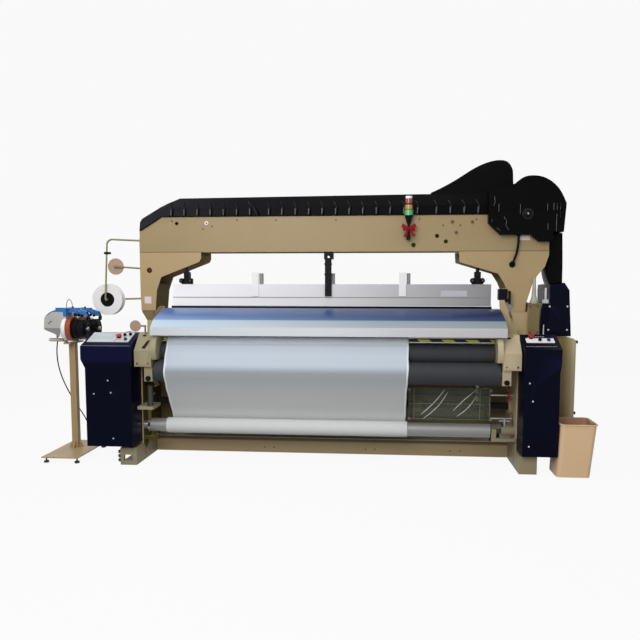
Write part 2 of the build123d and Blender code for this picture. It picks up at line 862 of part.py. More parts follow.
# Left control box: sheet-metal pedestal with a wider head and a sloping top
slope_run = 230.0
slope_rise = 85.0
left_slope = math.atan2(slope_rise, slope_run)
left_side_view = [
    (box_front_y, left_box_z),
    (box_front_y, 735),
    (box_front_y - 8, 800),
    (box_front_y - 8, shoulder_z - 8),
    (box_front_y, shoulder_z),
    (box_front_y + slope_run, shoulder_z + slope_rise),
    (box_front_y + slope_run, 888),
    (leg_front_y, 888),
    (leg_front_y, left_box_z),
]
left_front_view = [
    (left_box_inner_x, left_box_z),
    (left_box_inner_x, 1100),
    (left_head_x, 1100),
    (left_head_x, 800),
    (left_box_outer_x, 735),
    (left_box_outer_x, left_box_z),
]
left_box_shell = crossed_prism(left_front_view, left_side_view) - crossed_prism(
    left_front_view, left_side_view, box_sheet
)
slope_normal = (0, -math.sin(left_slope), math.cos(left_slope))
left_top = Plane(origin=(0, box_front_y, shoulder_z), x_dir=(1, 0, 0), z_dir=slope_normal)
panel_t = 3.0
stop_travel = 6.0
button_travel = 3.0
stop_stem_r = 10.0
button_stem_r = 7.0
left_stop = (-1546, 146)
left_buttons = [(-1512, 182), (-1472, 190), (-1484, 108)]
gland_yz = (100.0, 185.0)
with BuildPart() as control_box_left:
    add(left_box_shell)
    with BuildSketch(left_top):
        with Locations(left_stop):
            Circle(stop_stem_r + bearing_gap)
        with Locations(*left_buttons):
            Circle(button_stem_r + bearing_gap)
    extrude(amount=-2 * box_sheet, mode=Mode.SUBTRACT)
    for x, z in ((-1589, 645), (-1568, 555), (-1758 + 60, 545), (-1558, 212)):
        bar_y(box_front_y - 3, box_front_y, x, z, 6)
    # Gland for the feeders' cable
    bar_x(left_box_outer_x - 14, left_box_outer_x, *gland_yz, 11)
finish(control_box_left.part, "control_box_left")

with BuildPart() as control_panel_left:
    with BuildSketch(left_top):
        with Locations((-1610, 150)):
            RectangleRounded(320, 166, 6)
    extrude(amount=panel_t)
    # Bezel of the touch screen
    with BuildSketch(left_top.offset(panel_t)):
        with Locations((-1666, 148)):
            RectangleRounded(192, 146, 5)
            Rectangle(166, 116, mode=Mode.SUBTRACT)
    extrude(amount=2)
    # Collars of the buttons
    with BuildSketch(left_top.offset(panel_t)):
        with Locations(left_stop):
            Circle(17)
        with Locations(*left_buttons):
            Circle(12.5)
    extrude(amount=5)
    with BuildSketch(left_top):
        with Locations(left_stop):
            Circle(stop_stem_r + bearing_gap)
        with Locations(*left_buttons):
            Circle(button_stem_r + bearing_gap)
    extrude(amount=panel_t + 6, mode=Mode.SUBTRACT)
finish(control_panel_left.part, "control_panel_left")

# Right control box with a raised legend plate
right_run = 200.0
right_rise = 90.0
right_slope = math.atan2(right_rise, right_run)
right_side_view = [
    (box_front_y, right_box_z),
    (box_front_y, shoulder_z),
    (box_front_y + right_run, shoulder_z + right_rise),
    (box_front_y + right_run, 896),
    (leg_front_y, 888),
    (leg_front_y, right_box_z),
]
right_front_view = [
    (right_box_inner_x, right_box_z),
    (right_box_inner_x, 1100),
    (right_head_x, 1100),
    (right_head_x, 800),
    (right_box_outer_x, 740),
    (right_box_outer_x, right_box_z),
]
right_box_shell = crossed_prism(right_front_view, right_side_view) - crossed_prism(
    right_front_view, right_side_view, box_sheet
)
right_normal = (0, -math.sin(right_slope), math.cos(right_slope))
right_top = Plane(origin=(0, box_front_y, shoulder_z), x_dir=(1, 0, 0), z_dir=right_normal)
right_stop = (1480, 165)
right_buttons = [(1537, 131), (1597, 132)]
with BuildPart() as control_box_right:
    add(right_box_shell)
    with BuildSketch(right_top):
        with Locations((1538, 128)):
            RectangleRounded(196, 64, 5)
        with Locations(right_stop):
            Circle(22)
    extrude(amount=panel_t)
    with BuildSketch(right_top.offset(panel_t)):
        with Locations(right_stop):
            Circle(18)
        with Locations(*right_buttons):
            Circle(13)
    extrude(amount=5)
    with BuildSketch(right_top.offset(-2 * box_sheet)):
        with Locations(right_stop):
            Circle(stop_stem_r + bearing_gap)
        with Locations(*right_buttons):
            Circle(button_stem_r + bearing_gap)
    extrude(amount=2 * box_sheet + panel_t + 6, mode=Mode.SUBTRACT)
    for x, z in ((1502, 640), (1530, 510), (1492, 182)):
        bar_y(box_front_y - 3, box_front_y, x, z, 6)
finish(control_box_right.part, "control_box_right")

# Emergency stops and push buttons, each on a stem in its collar
stem_in = -12.0
collar_top = panel_t + 5
push_pieces = [
    ("emergency_stop_left", left_top, left_stop, "stop"),
    ("emergency_stop_right", right_top, right_stop, "stop"),
]
push_pieces += [
    (f"panel_button_left_{index}", left_top, centre, "button")
    for index, centre in enumerate(left_buttons, start=1)
]
push_pieces += [
    (f"panel_button_right_{index}", right_top, centre, "button")
    for index, centre in enumerate(right_buttons, start=1)
]
for name, top, centre, kind in push_pieces:
    stem_r = stop_stem_r if kind == "stop" else button_stem_r
    cap_r = 20.0 if kind == "stop" else 11.0
    travel = stop_travel if kind == "stop" else button_travel
    cap_h = 14.0 if kind == "stop" else 7.0
    cap_low = collar_top + travel + 0.5
    with BuildPart() as push:
        with BuildSketch(top.offset(stem_in)):
            with Locations(centre):
                Circle(stem_r)
        extrude(amount=cap_low - stem_in)
        with BuildSketch(top.offset(cap_low)):
            with Locations(centre):
                Circle(cap_r)
        extrude(amount=cap_h)
        rim = push.faces().sort_by(Axis((0, 0, 0), top.z_dir))[-1].edges()
        fillet(rim, cap_h / 3)
    finish(push.part, name)

# Rollers: each is a barrel with a journal at both ends
with BuildPart() as press_roller:
    bar_x(-press_half, press_half, press_y, press_z, press_r)
    bar_x(-inner_x + 16, inner_x - 16, press_y, press_z, journal_r)
finish(press_roller.part, "press_roller")

with BuildPart() as take_up_roller:
    bar_x(-take_up_half, take_up_half, take_up_y, take_up_z, take_up_r)
    bar_x(-bracket_x - 56, bracket_x + 56, take_up_y, take_up_z, journal_r)
finish(take_up_roller.part, "take_up_roller")

with BuildPart() as cloth_roller:
    bar_x(tube_left_x, tube_right_x, cloth_y, cloth_z, tube_r)
    bar_x(tube_left_x + 12, tube_right_x - 12, cloth_y, cloth_z, tube_r - 6, Mode.SUBTRACT)
    bar_x(-inner_x + 4, inner_x - 4, cloth_y, cloth_z, cloth_journal_r)
finish(cloth_roller.part, "cloth_roller")

with BuildPart() as cloth_roll:
    bar_x(roll_left_x, roll_right_x, cloth_y, cloth_z, roll_r)
    bar_x(roll_left_x, roll_right_x, cloth_y, cloth_z, tube_r, Mode.SUBTRACT)
finish(cloth_roll.part, "cloth_roll")


def tangent_points(first, first_r, second, second_r, turn):
    """Where a tight thread leaves one round and meets the next, both in y and z.

    turn is +1 when the thread passes both rounds on its right hand and -1 when it
    crosses from the right of the first to the left of the second.
    """
    run = Vector(second[0] - first[0], second[1] - first[1], 0)
    along = run.normalized()
    across = Vector(along.Y, -along.X, 0)
    lean = math.asin((first_r - turn * second_r) / run.length)
    normal = across * math.cos(lean) + along * math.sin(lean)
    leave = Vector(*first) + normal * first_r
    meet = Vector(*second) + normal * (turn * second_r)
    return (leave.X, leave.Y), (meet.X, meet.Y)


# Woven cloth: over the breast beam, round the take-up roller and down behind the roll
sheet_take_r = take_up_r + seat_gap + cloth_t / 2
sheet_roll_r = roll_r + seat_gap + cloth_t / 2
sheet_lip_r = lip_r + seat_gap + cloth_t / 2
lip_centre = (breast_front_y + lip_r, breast_top_z - lip_r)
take_centre = (take_up_y, take_up_z)
roll_centre = (cloth_y, cloth_z)
lip_leave, take_meet = tangent_points(lip_centre, sheet_lip_r, take_centre, sheet_take_r, 1)
take_leave, roll_meet = tangent_points(take_centre, sheet_take_r, roll_centre, sheet_roll_r, -1)
take_front = (take_up_y - sheet_take_r, take_up_z)
lip_top = (lip_centre[0], lip_centre[1] + sheet_lip_r)
lip_turn = sheet_lip_r * math.sqrt(0.5)
with BuildPart() as fabric_sheet:
    with BuildSketch(side_plane(cloth_left_x)):
        with BuildLine():
            Line((fell_y, lip_top[1]), lip_top)
            ThreePointArc(lip_top, (lip_centre[0] - lip_turn, lip_centre[1] + lip_turn), lip_leave)
            Line(lip_leave, take_meet)
            ThreePointArc(take_meet, take_front, take_leave)
            Line(take_leave, roll_meet)
        trace(line_width=cloth_t)
    extrude(amount=cloth_right_x - cloth_left_x)
finish(fabric_sheet.part, "fabric_sheet")

# Heald frames: two rails, two stays, the healds and the lifting hooks
hook_x = (-1142.0, 1152.0)
heald_wires = 60
heald_wire_w = 5.0
heald_wire_t = 1.5
heald_eye_gap = (915.0, 1045.0)
wire_pitch = 2 * (heald_half - 2 * heald_stay) / (heald_wires - 1)
low_rail_top = heald_low_z + heald_low_h
high_rail_low = heald_top_z - heald_rail_h
with BuildPart() as heald_body:
    block(-heald_half, heald_half, 0, heald_t, high_rail_low, heald_top_z)
    block(-heald_half, heald_half, 0, heald_t, heald_low_z, low_rail_top)
    for end in (-1, 1):
        block(end * (heald_half - heald_stay), end * heald_half, 0, heald_t, low_rail_top, high_rail_low)
    for x in hook_x:
        block(x - 42, x + 42, 0, heald_t, heald_top_z, heald_top_z + 46)
        block(x - 24, x + 24, 0, heald_t, heald_top_z + 46, heald_top_z + 96)
        block(x - 12, x + 12, 0, heald_t, heald_top_z + 96, 1540)
    with BuildSketch(front_plane((heald_t - heald_wire_t) / 2)):
        for low, high in ((low_rail_top, heald_eye_gap[0]), (heald_eye_gap[1], high_rail_low)):
            with Locations((0, (low + high) / 2)):
                with GridLocations(wire_pitch, 1, heald_wires, 1):
                    Rectangle(heald_wire_w, high - low)
    extrude(amount=-heald_wire_t)

spacer_w = 55.0
front_spacer_x = (-586.0, 576.0)
rear_spacer_x = (-547.0, 617.0, 25.0)
for index in range(heald_count):
    y0 = heald_y + index * heald_pitch
    y1 = y0 + heald_t
    with BuildPart() as heald_frame:
        add(heald_body.part.moved(Location((0, y0, 0))))
        if index == 0:
            for x in front_spacer_x:
                block(x - spacer_w / 2, x + spacer_w / 2, y0 - 8, y1, heald_top_z, 1440)
                block(x - spacer_w / 2, x + spacer_w / 2, y0 - 8, y0, 1257, heald_top_z)
            block(-heald_half, heald_half, y0 - 1.5, y0, 1243, 1249)
        else:
            for x in rear_spacer_x:
                block(x - 13 + 4 * index, x + 13 + 4 * index, y0, y1, heald_top_z, 1436)
    finish(heald_frame.part, f"heald_frame_{index + 1}")

# Centre guide that hangs from the beam in front of the heald frames
with BuildPart() as centre_guide:
    block(-37, 37, arch_front_y, arch_front_y + 45, arch_seam_z - 60, arch_seam_z)
    block(-30, 22, arch_front_y, arch_front_y + 9, 1257, arch_seam_z - 60)
    bar_y(arch_front_y - 5, arch_front_y, 0, arch_seam_z - 42, 9)
    for z in (1500, 1420):
        block(-34, 26, arch_front_y - 3, arch_front_y, z, z + 14)
finish(centre_guide.part, "centre_guide")

# Sley: rocking shaft, swords and the hollow beam that carries the reed
with BuildPart() as sley:
    bar_x(-inner_x + 4, inner_x - 4, rocker_y, rocker_z, rocker_r)
    sley_front = reed_y - 28
    sley_low = sley_top_z - sley_h
    block(-sley_half, sley_half, sley_front, sley_front + sley_w, sley_low, sley_top_z)
    block(
        -sley_half + 6,
        sley_half - 6,
        sley_front + 6,
        sley_front + sley_w - 6,
        sley_low + 6,
        sley_top_z - 8,
        Mode.SUBTRACT,
    )
    for x in (-1150, -400, 400, 1150):
        bar_x(x - 22, x + 22, rocker_y, rocker_z, 50)
        with BuildSketch(side_plane(x - 10)):
            Polygon(
                (rocker_y - 34, rocker_z + 30),
                (rocker_y + 34, rocker_z + 30),
                (sley_front + sley_w, sley_low),
                (sley_front, sley_low),
                align=None,
            )
        extrude(amount=20)
finish(sley.part, "sley")

# Reed: two bars joined by the dents
dent_gaps = 110
dent_pitch = 2 * (reed_half - 12) / dent_gaps
with BuildPart() as reed:
    block(-reed_half, reed_half, reed_y - reed_t / 2, reed_y + reed_t / 2, sley_top_z, sley_top_z + reed_h)
    with BuildSketch(front_plane(reed_y - reed_t)):
        with Locations((0, sley_top_z + reed_h / 2)):
            with GridLocations(dent_pitch, 1, dent_gaps, 1):
                Rectangle(dent_pitch * 0.72, reed_h - 36)
    extrude(amount=-2 * reed_t, mode=Mode.SUBTRACT)
finish(reed.part, "reed")

# Warp beam with its flanges, its gear and the yarn wound on it
with BuildPart() as warp_beam:
    for side in (-1, 1):
        bar_x(side * yarn_half, side * (yarn_half + 22), warp_y, warp_z, flange_r)
    bar_x(-outer_x + 4, outer_x - 4, warp_y, warp_z, warp_journal_r)
    bar_x(-yarn_half - 60, -yarn_half - 22, warp_y, warp_z, 230)
    bar_x(-yarn_half, yarn_half, warp_y, warp_z, yarn_r)
finish(warp_beam.part, "warp_beam")

with BuildPart() as back_rest:
    bar_x(-yarn_half - 20, yarn_half + 20, rest_y, rest_z, rest_r)
    bar_x(-inner_x - 40, inner_x + 40, rest_y, rest_z, 25)
finish(back_rest.part, "back_rest_roller")

# Warp sheet: from the yarn over the back rest to just behind the reed
warp_end = (reed_y + reed_t / 2 + 8, shed_z - 11)
beam_centre = (warp_y, warp_z)
rest_centre = (rest_y, rest_z)
on_beam_r = yarn_r + seat_gap + warp_t / 2
on_rest_r = rest_r + seat_gap + warp_t / 2
beam_leave, rest_meet = tangent_points(beam_centre, on_beam_r, rest_centre, on_rest_r, 1)
rest_leave = tangent_points(rest_centre, on_rest_r, warp_end, 0.001, 1)[0]
rest_top = (
    rest_y + on_rest_r * math.cos(math.radians(75)),
    rest_z + on_rest_r * math.sin(math.radians(75)),
)
warp_half = 1200.0
with BuildPart() as warp_sheet:
    with BuildSketch(side_plane(-warp_half)):
        with BuildLine():
            Line(beam_leave, rest_meet)
            ThreePointArc(rest_meet, rest_top, rest_leave)
            Line(rest_leave, warp_end)
        trace(line_width=warp_t)
    extrude(amount=2 * warp_half)
finish(warp_sheet.part, "warp_sheet")

# Main shaft with its crank discs, and the motor that drives it directly
shaft_end_x = outer_x + 180
with BuildPart() as main_shaft:
    bar_x(-inner_x + 2, shaft_end_x, shaft_y, shaft_z, shaft_r)
    for x in (-1120, 1120):
        bar_x(x - 18, x + 18, shaft_y, shaft_z, crank_r)
        bar_x(x - 60 * (1 if x > 0 else -1), x, shaft_y + 45, shaft_z, 18)
finish(main_shaft.part, "main_shaft")

with BuildPart() as drive_motor:
    half = motor_size / 2
    bar_x(outer_x, outer_x + 16, shaft_y, shaft_z, 112)
    with BuildSketch(side_plane(outer_x + 16)):
        with Locations((shaft_y, shaft_z)):
            RectangleRounded(motor_size, motor_size, 34)
    extrude(amount=motor_len - 50)
    bar_x(outer_x + motor_len - 34, outer_x + motor_len, shaft_y, shaft_z, half - 8)
    for index in range(9):
        fin_z = shaft_z - half + 40 + 20 * index
        block(outer_x + 30, outer_x + motor_len - 46, shaft_y - half - 6, shaft_y + half + 6, fin_z - 3, fin_z + 3)
    block(outer_x + 60, outer_x + 180, shaft_y - 60, shaft_y + 60, shaft_z + half, shaft_z + half + 50)
    bar_x(outer_x - 1, shaft_end_x + 4, shaft_y, shaft_z, shaft_r + bearing_gap, Mode.SUBTRACT)
finish(drive_motor.part, "drive_motor")

# Water pump outside the left frame, with its pipe and nozzle
pump_x = -outer_x - 85
pipe_y = 388.0
pipe_z = 966.0
with BuildPart() as water_pump:
    block(pump_x - 60, -outer_x, 440, 640, 600, 624)
    block(pump_x - 50, pump_x + 50, 470, 590, 624, 760)
    bar_z(760, 860, pump_x, 530, 34)
    bar_z(860, 882, pump_x, 530, 44)
    with BuildLine():
        FilletPolyline(
            (pump_x, 530, 881),
            (pump_x, 530, pipe_z),
            (pump_x, pipe_y, pipe_z),
            (-reed_half - 30, pipe_y, pipe_z),
            radius=30,
        )
    with BuildSketch(floor_plane(881)):
        with Locations((pump_x, 530)):
            Circle(8)
    sweep()
    bar_x(-reed_half - 70, -reed_half - 20, pipe_y, pipe_z, 12)
finish(water_pump.part, "water_pump")

# Signal lamp on its pole
lamp_x = 616.0
lamp_y = 458.0
with BuildPart() as signal_lamp:
    bar_z(1692, 1812, lamp_x, lamp_y, 11)
    with Locations((lamp_x, lamp_y, 1843)):
        Cone(13, 31, 62)
    bar_z(1874, 1914, lamp_x, lamp_y, 35)
    bar_z(1914, 1919, lamp_x, lamp_y, 27)
    bar_z(1919, 1952, lamp_x, lamp_y, 31)
    bar_z(1952, 1962, lamp_x, lamp_y, 27)
    bar_z(1962, 2000, lamp_x, lamp_y, 31)
    bar_z(2000, 2018, lamp_x, lamp_y, 26)
    block(lamp_x - 14, lamp_x + 14, lamp_y - 10, arch_front_y, 1692, 1722)
finish(signal_lamp.part, "signal_lamp")

# Ribbon bow tied to the pole
bow_z = 1772.0
bow_y = lamp_y - 11 - seat_gap
with BuildPart() as lamp_bow:
    with BuildSketch(front_plane(bow_y - 16)):
        Polygon(
            (lamp_x - 60, bow_z + 34),
            (lamp_x - 14, bow_z + 14),
            (lamp_x + 14, bow_z + 14),
            (lamp_x + 62, bow_z + 34),
            (lamp_x + 60, bow_z - 22),
            (lamp_x + 22, bow_z - 8),
            (lamp_x + 40, bow_z - 62),
            (lamp_x + 12, bow_z - 60),
            (lamp_x, bow_z - 14),
            (lamp_x - 14, bow_z - 66),
            (lamp_x - 40, bow_z - 54),
            (lamp_x - 22, bow_z - 8),
            (lamp_x - 58, bow_z - 24),
            align=None,
        )
    extrude(amount=-16)
finish(lamp_bow.part, "lamp_bow")

# Selvedge rods with the upper thread disc and the spindle of the spool
spindle_x = -1812.0
spindle_z = 1225.0
spindle_r = 9.0
rod_r = 7.0
rod_root_x = beam_left_x - 6
disc_x = -1735.0
disc_z = 1492.0
with BuildPart() as selvedge_rods:
    with BuildLine():
        FilletPolyline(
            (rod_root_x, 520, 1697),
            (-1793, 520, 1710),
            (spindle_x - 8, 520, spindle_z),
            radius=45,
        )
    with BuildSketch(Plane((rod_root_x, 520, 1697), z_dir=(-1, 0, 0))):
        Circle(rod_r)
    sweep()
    # Spindle of the spool, and the disc on its own rod
    rod_between((rod_root_x, 620, 1233), (spindle_x, 620, spindle_z))
    bar_y(513, 628, spindle_x, spindle_z, spindle_r)
    rod_between((rod_root_x, 522, 1476), (disc_x - 10, 522, disc_z))
    bar_y(522, 546, disc_x, disc_z, 9)
    bar_y(541, 546, disc_x, disc_z, 66)
    # Clamp strip on the leg, and the eyelet block
    block(rod_root_x, beam_left_x, 508, 632, 1216, 1250)
    block(rod_root_x, beam_left_x, 508, 534, 1216, 1714)
    block(-1816, -1768, 506, 534, 1590, 1608)
finish(selvedge_rods.part, "selvedge_rods")

# Selvedge spool: two flanges on a wound core
with BuildPart() as spool:
    bar_y(538, 543, spindle_x, spindle_z, 126)
    bar_y(598, 603, spindle_x, spindle_z, 126)
    bar_y(540, 600, spindle_x, spindle_z, 96)
    bar_y(538, 542, spindle_x, spindle_z, 58, Mode.SUBTRACT)
    with Locations(Location((spindle_x, 540, spindle_z), (90, 0, 0))):
        with PolarLocations(38, 6):
            Cylinder(11, 4)
        Cylinder(20, 4)
    bar_y(530, 610, spindle_x, spindle_z, spindle_r + bearing_gap, Mode.SUBTRACT)
finish(spool.part, "selvedge_spool")

# Oil bottle on the gear housing
with BuildPart() as oil_bottle:
    with BuildSketch(Plane.XZ):
        Polygon((0, 0), (31, 0), (31, 18), (24, 26), (17, 60), (12, 160), (12, 190), (0, 190), align=None)
    revolve(axis=Axis.Z)
oil_bottle.part.position = (1572, 480, 1207)
finish(oil_bottle.part, "oil_bottle")

# Weft stand: plate on four feet, column with gussets and the feeders' rail
plate_x = (-2140.0, -1855.0)
plate_y = (-20.0, 570.0)
plate_t = 8.0
rail_left_x = -2055.0
exit_z = 943.0              # underside of the feeders
feeder_y = (stand_y - 85, stand_y - 85 + feeder_pitch)
with BuildPart() as weft_stand:
    block(*plate_x, *plate_y, stand_plate_z - plate_t, stand_plate_z)
    for x in (plate_x[0] + 22, plate_x[1] - 22):
        for y in (plate_y[0] + 40, plate_y[1] - 40):
            bar_z(0, 14, x, y, 19)
            bar_z(14, stand_plate_z, x, y, 6)
    block(stand_x - 25, stand_x + 25, stand_y - 25, stand_y + 25, stand_plate_z, stand_top_z)
    for turn in (0, 90, 180, 270):
        away = (math.cos(math.radians(turn)), math.sin(math.radians(turn)), 0)
        beside = (away[1], -away[0], 0)
        with BuildSketch(Plane((stand_x, stand_y, stand_plate_z), x_dir=away, z_dir=beside).offset(-4)):
            Polygon((25, 0), (58, 0), (25, 60), align=None)
        extrude(amount=8)
    block(rail_left_x, stand_x + 25, feeder_y[0] - 20, feeder_y[1] + 20, stand_top_z, stand_top_z + 12)
    for y in feeder_y:
        block(rail_left_x, rail_left_x + 20, y - 14, y + 14, stand_top_z + 12, exit_z)
    bar_x(rail_left_x - 112, rail_left_x, feeder_y[0] - 10, 918, 14)
    bar_x(rail_left_x - 119, rail_left_x - 112, feeder_y[0] - 10, 918, 10)
finish(weft_stand.part, "weft_stand")

# Weft feeders: housing with the drum and the arm, and the ring that winds the thread
ring_x = (-2008.0, -1970.0)
feeder_z = 1005.0
feeder_shift = (9.0, -8.0)
feeder_shaft_r = 12.0
feeder_back = smooth_run([(-2187, 1093), (-2148, 1131), (-2100, 1151)], 6)
feeder_gland = (-2124.0, 285.0)
feeder_gland_h = 9.0
for index, label in enumerate(("front", "rear")):
    dx = feeder_shift[0] * index
    dz = feeder_shift[1] * index
    y = feeder_y[index]
    axis_z = feeder_z + dz
    with BuildPart() as feeder:
        with BuildSketch(front_plane(y - 52)):
            Polygon(
                (-2180 + dx, 995),
                (-2191 + dx, 1002),
                (-2194 + dx, 1015),
                *[(x + dx, z + dz) for x, z in feeder_back],
                (ring_x[0] - 4 + dx, 1158 + dz),
                (ring_x[0] - 4 + dx, exit_z),
                (-2072, exit_z),
                (-2112, 968),
                align=None,
            )
        extrude(amount=-104)
        bar_x(ring_x[0] - 22 + dx, ring_x[0] - 3 + dx, y, axis_z, ring_r - 6)
        bar_x(ring_x[0] - 4 + dx, ring_x[1] + 10 + dx, y, axis_z, feeder_shaft_r)
        bar_x(ring_x[1] + 4 + dx, ring_x[1] + 96 + dx, y, axis_z, drum_r)
        bar_x(ring_x[1] + 96 + dx, ring_x[1] + 104 + dx, y, axis_z, drum_r - 22)
        # Arm over the drum with the thread eyelets
        arm_start = ring_x[1] + dx
        block(-2110 + dx, arm_start + 40, y - 24, y + 24, 1132 + dz, 1168 + dz)
        with BuildSketch(front_plane(y - 18)):
            Polygon(
                (arm_start + 30, 1128 + dz),
                (arm_start + 30, 1164 + dz),
                (arm_start + 104, 1140 + dz),
                (arm_start + 120, 1104 + dz),
                (arm_start + 82, 1104 + dz),
                align=None,
            )
        extrude(amount=-36)
        bar_x(arm_start + 108, arm_start + 120, y, 1090 + dz, 22)
        bar_x(arm_start + 107, arm_start + 121, y, 1090 + dz, 9, Mode.SUBTRACT)
        if index == 0:
            bar_z(exit_z - feeder_gland_h, exit_z + 60, *feeder_gland, 8)
    finish(feeder.part, "feeder_" + label)
    with BuildPart() as ring:
        bar_x(ring_x[0] + dx, ring_x[1] + dx, y, axis_z, ring_r)
        bar_x(ring_x[0] + 10 + dx, ring_x[1] + 1 + dx, y, axis_z, ring_r - 14, Mode.SUBTRACT)
        bar_x(ring_x[0] - 1 + dx, ring_x[1] + dx, y, axis_z, feeder_shaft_r + bearing_gap, Mode.SUBTRACT)
    finish(ring.part, "feeder_ring_" + label)

# Waste bin: a tapered open box with a rolled rim, standing on the floor
bin_low = ((1652.0, -55.0), (1885.0, 190.0))
bin_high = ((1672.0, -68.0), (1920.0, 206.0))


def bin_rectangle(corners, inset):
    """Width, depth and centre of the bin's outline, drawn in by inset."""
    (x0, y0), (x1, y1) = corners
    return (x1 - x0 - 2 * inset, y1 - y0 - 2 * inset), ((x0 + x1) / 2, (y0 + y1) / 2)


low_size, low_centre = bin_rectangle(bin_low, 0)
high_size, high_centre = bin_rectangle(bin_high, 0)
low_in, _ = bin_rectangle(bin_low, bin_sheet)
high_in, _ = bin_rectangle(bin_high, bin_sheet)
with BuildPart() as waste_bin:
    with BuildSketch(floor_plane(0)):
        with Locations(low_centre):
            RectangleRounded(*low_size, 32)
    with BuildSketch(floor_plane(bin_h)):
        with Locations(high_centre):
            RectangleRounded(*high_size, 32)
    loft()
    with BuildSketch(floor_plane(bin_h - 8)):
        with Locations(high_centre):
            RectangleRounded(high_size[0] + 14, high_size[1] + 14, 38)
    extrude(amount=8)
    with BuildSketch(floor_plane(bin_sheet)):
        with Locations(low_centre):
            RectangleRounded(*low_in, 30)
    with BuildSketch(floor_plane(bin_h + 1)):
        with Locations(high_centre):
            RectangleRounded(*high_in, 30)
    loft(mode=Mode.SUBTRACT)
finish(waste_bin.part, "waste_bin")


def cord_tube(points, diameter):
    """Tube of a hanging cable: straight runs joined by arcs as large as the runs allow."""
    radii = []
    for before, here, after in zip(points, points[1:], points[2:]):
        first = Vector(*here) - Vector(*before)
        second = Vector(*after) - Vector(*here)
        half_turn = math.radians(first.get_angle(second)) / 2
        radii.append(0.45 * min(first.length, second.length) / math.tan(half_turn))
    with BuildPart() as cord:
        with BuildLine() as route:
            FilletPolyline(*points, radius=radii)
        start = Vector(*points[0])
        with BuildSketch(Plane(start, z_dir=Vector(*points[1]) - start)):
            Circle(diameter / 2)
        sweep()
    length = route.wires()[0].length
    area = math.pi * diameter**2 / 4
    print("cord length", round(length), "volume ratio", round(cord.part.volume / (area * length), 4))
    print("cord radii", [round(radius) for radius in radii])
    return cord.part


# Cable from the front feeder to the left control box
feeder_cable_points = [
    (*feeder_gland, exit_z - feeder_gland_h),
    (*feeder_gland, 905),
    (-2132, 287, 862),
    (-2136, 290, 806),
    (-2136, 298, 742),
    (-2131, 314, 674),
    (-2122, 338, 606),
    (-2107, 364, 538),
    (-2086, 387, 472),
    (-2058, 401, 410),
    (-2023, 405, 353),
    (-1984, 394, 305),
    (-1943, 362, 264),
    (-1906, 314, 233),
    (-1876, 258, 211),
    (-1856, 204, 198),
    (-1844.5, 163.5, 191),
    (-1834.5, 137.3, 187.6),
    (-1823.5, 120, 186),
    (-1809.6, 107.5, 185.3),
    (-1793, *gland_yz),
    (left_box_outer_x - 14, *gland_yz),
]
finish(cord_tube(feeder_cable_points, 9), "feeder_cable")

# Conduit from the dobby cover to the grommet in the right leg
dobby_cable_points = [
    (*dobby_gland_xy, dobby_gland_z),
    (*dobby_gland_xy, 1686),
    (1441, 470, 1640),
    (1433, 469, 1594),
    (1422, 467.5, 1556),
    (1412, 466, 1531),
    (1408.5, 467.7, 1516.8),
    (1407, 474.8, 1506.7),
    (1407, 485.7, grommet_xz[1]),
    (grommet_xz[0], arch_front_y - grommet_t, grommet_xz[1]),
]
finish(cord_tube(dobby_cable_points, 18), "dobby_cable")

# Write every piece about the part's own origin
boxes = [part.bounding_box() for part in finished]
origin = (
    (min(box.min.X for box in boxes) + max(box.max.X for box in boxes)) / 2,
    (min(box.min.Y for box in boxes) + max(box.max.Y for box in boxes)) / 2,
    min(box.min.Z for box in boxes),
)
for part in finished:
    moved = part.moved(Location((-origin[0], -origin[1], -origin[2])))
    moved.label = part.label
    export_step(moved, f"parts/{part.label}.step")
print("origin of the part in the drawing frame:", [round(value, 3) for value in origin])
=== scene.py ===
"""Dressing of the power loom: materials, soft goods, small fittings, camera and studio.

Lengths given to at() and to Build are millimetres in the loom's drawing frame: x to the right from the
loom's centre line, y back from the front feet, z up from the floor.
"""
import random
from math import atan2, cos, dist, hypot, pi, radians, sin

import bmesh
import bpy
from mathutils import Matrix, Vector


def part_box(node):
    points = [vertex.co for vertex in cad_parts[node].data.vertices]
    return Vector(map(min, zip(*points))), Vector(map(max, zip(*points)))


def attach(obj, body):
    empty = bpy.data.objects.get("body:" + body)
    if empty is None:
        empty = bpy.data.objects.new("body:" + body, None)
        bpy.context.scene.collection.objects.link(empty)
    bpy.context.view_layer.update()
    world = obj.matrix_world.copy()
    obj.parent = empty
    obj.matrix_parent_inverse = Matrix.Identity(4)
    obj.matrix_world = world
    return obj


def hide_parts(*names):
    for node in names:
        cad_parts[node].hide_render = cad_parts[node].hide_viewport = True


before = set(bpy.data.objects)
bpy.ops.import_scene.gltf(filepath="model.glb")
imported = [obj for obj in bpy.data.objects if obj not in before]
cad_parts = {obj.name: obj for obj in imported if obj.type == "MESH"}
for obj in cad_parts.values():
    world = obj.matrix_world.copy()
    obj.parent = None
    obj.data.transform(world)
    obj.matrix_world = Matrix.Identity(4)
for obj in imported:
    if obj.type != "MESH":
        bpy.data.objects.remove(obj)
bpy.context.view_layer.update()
random.seed(7)

MM = 0.001
FRAME_BODY = "loom_frame"

# The drawing frame's origin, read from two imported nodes
girder_low, girder_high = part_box("cross_girder")
CENTRE_X = (girder_low.x + girder_high.x) / 2
FRONT_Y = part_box("side_frame_left")[0].y

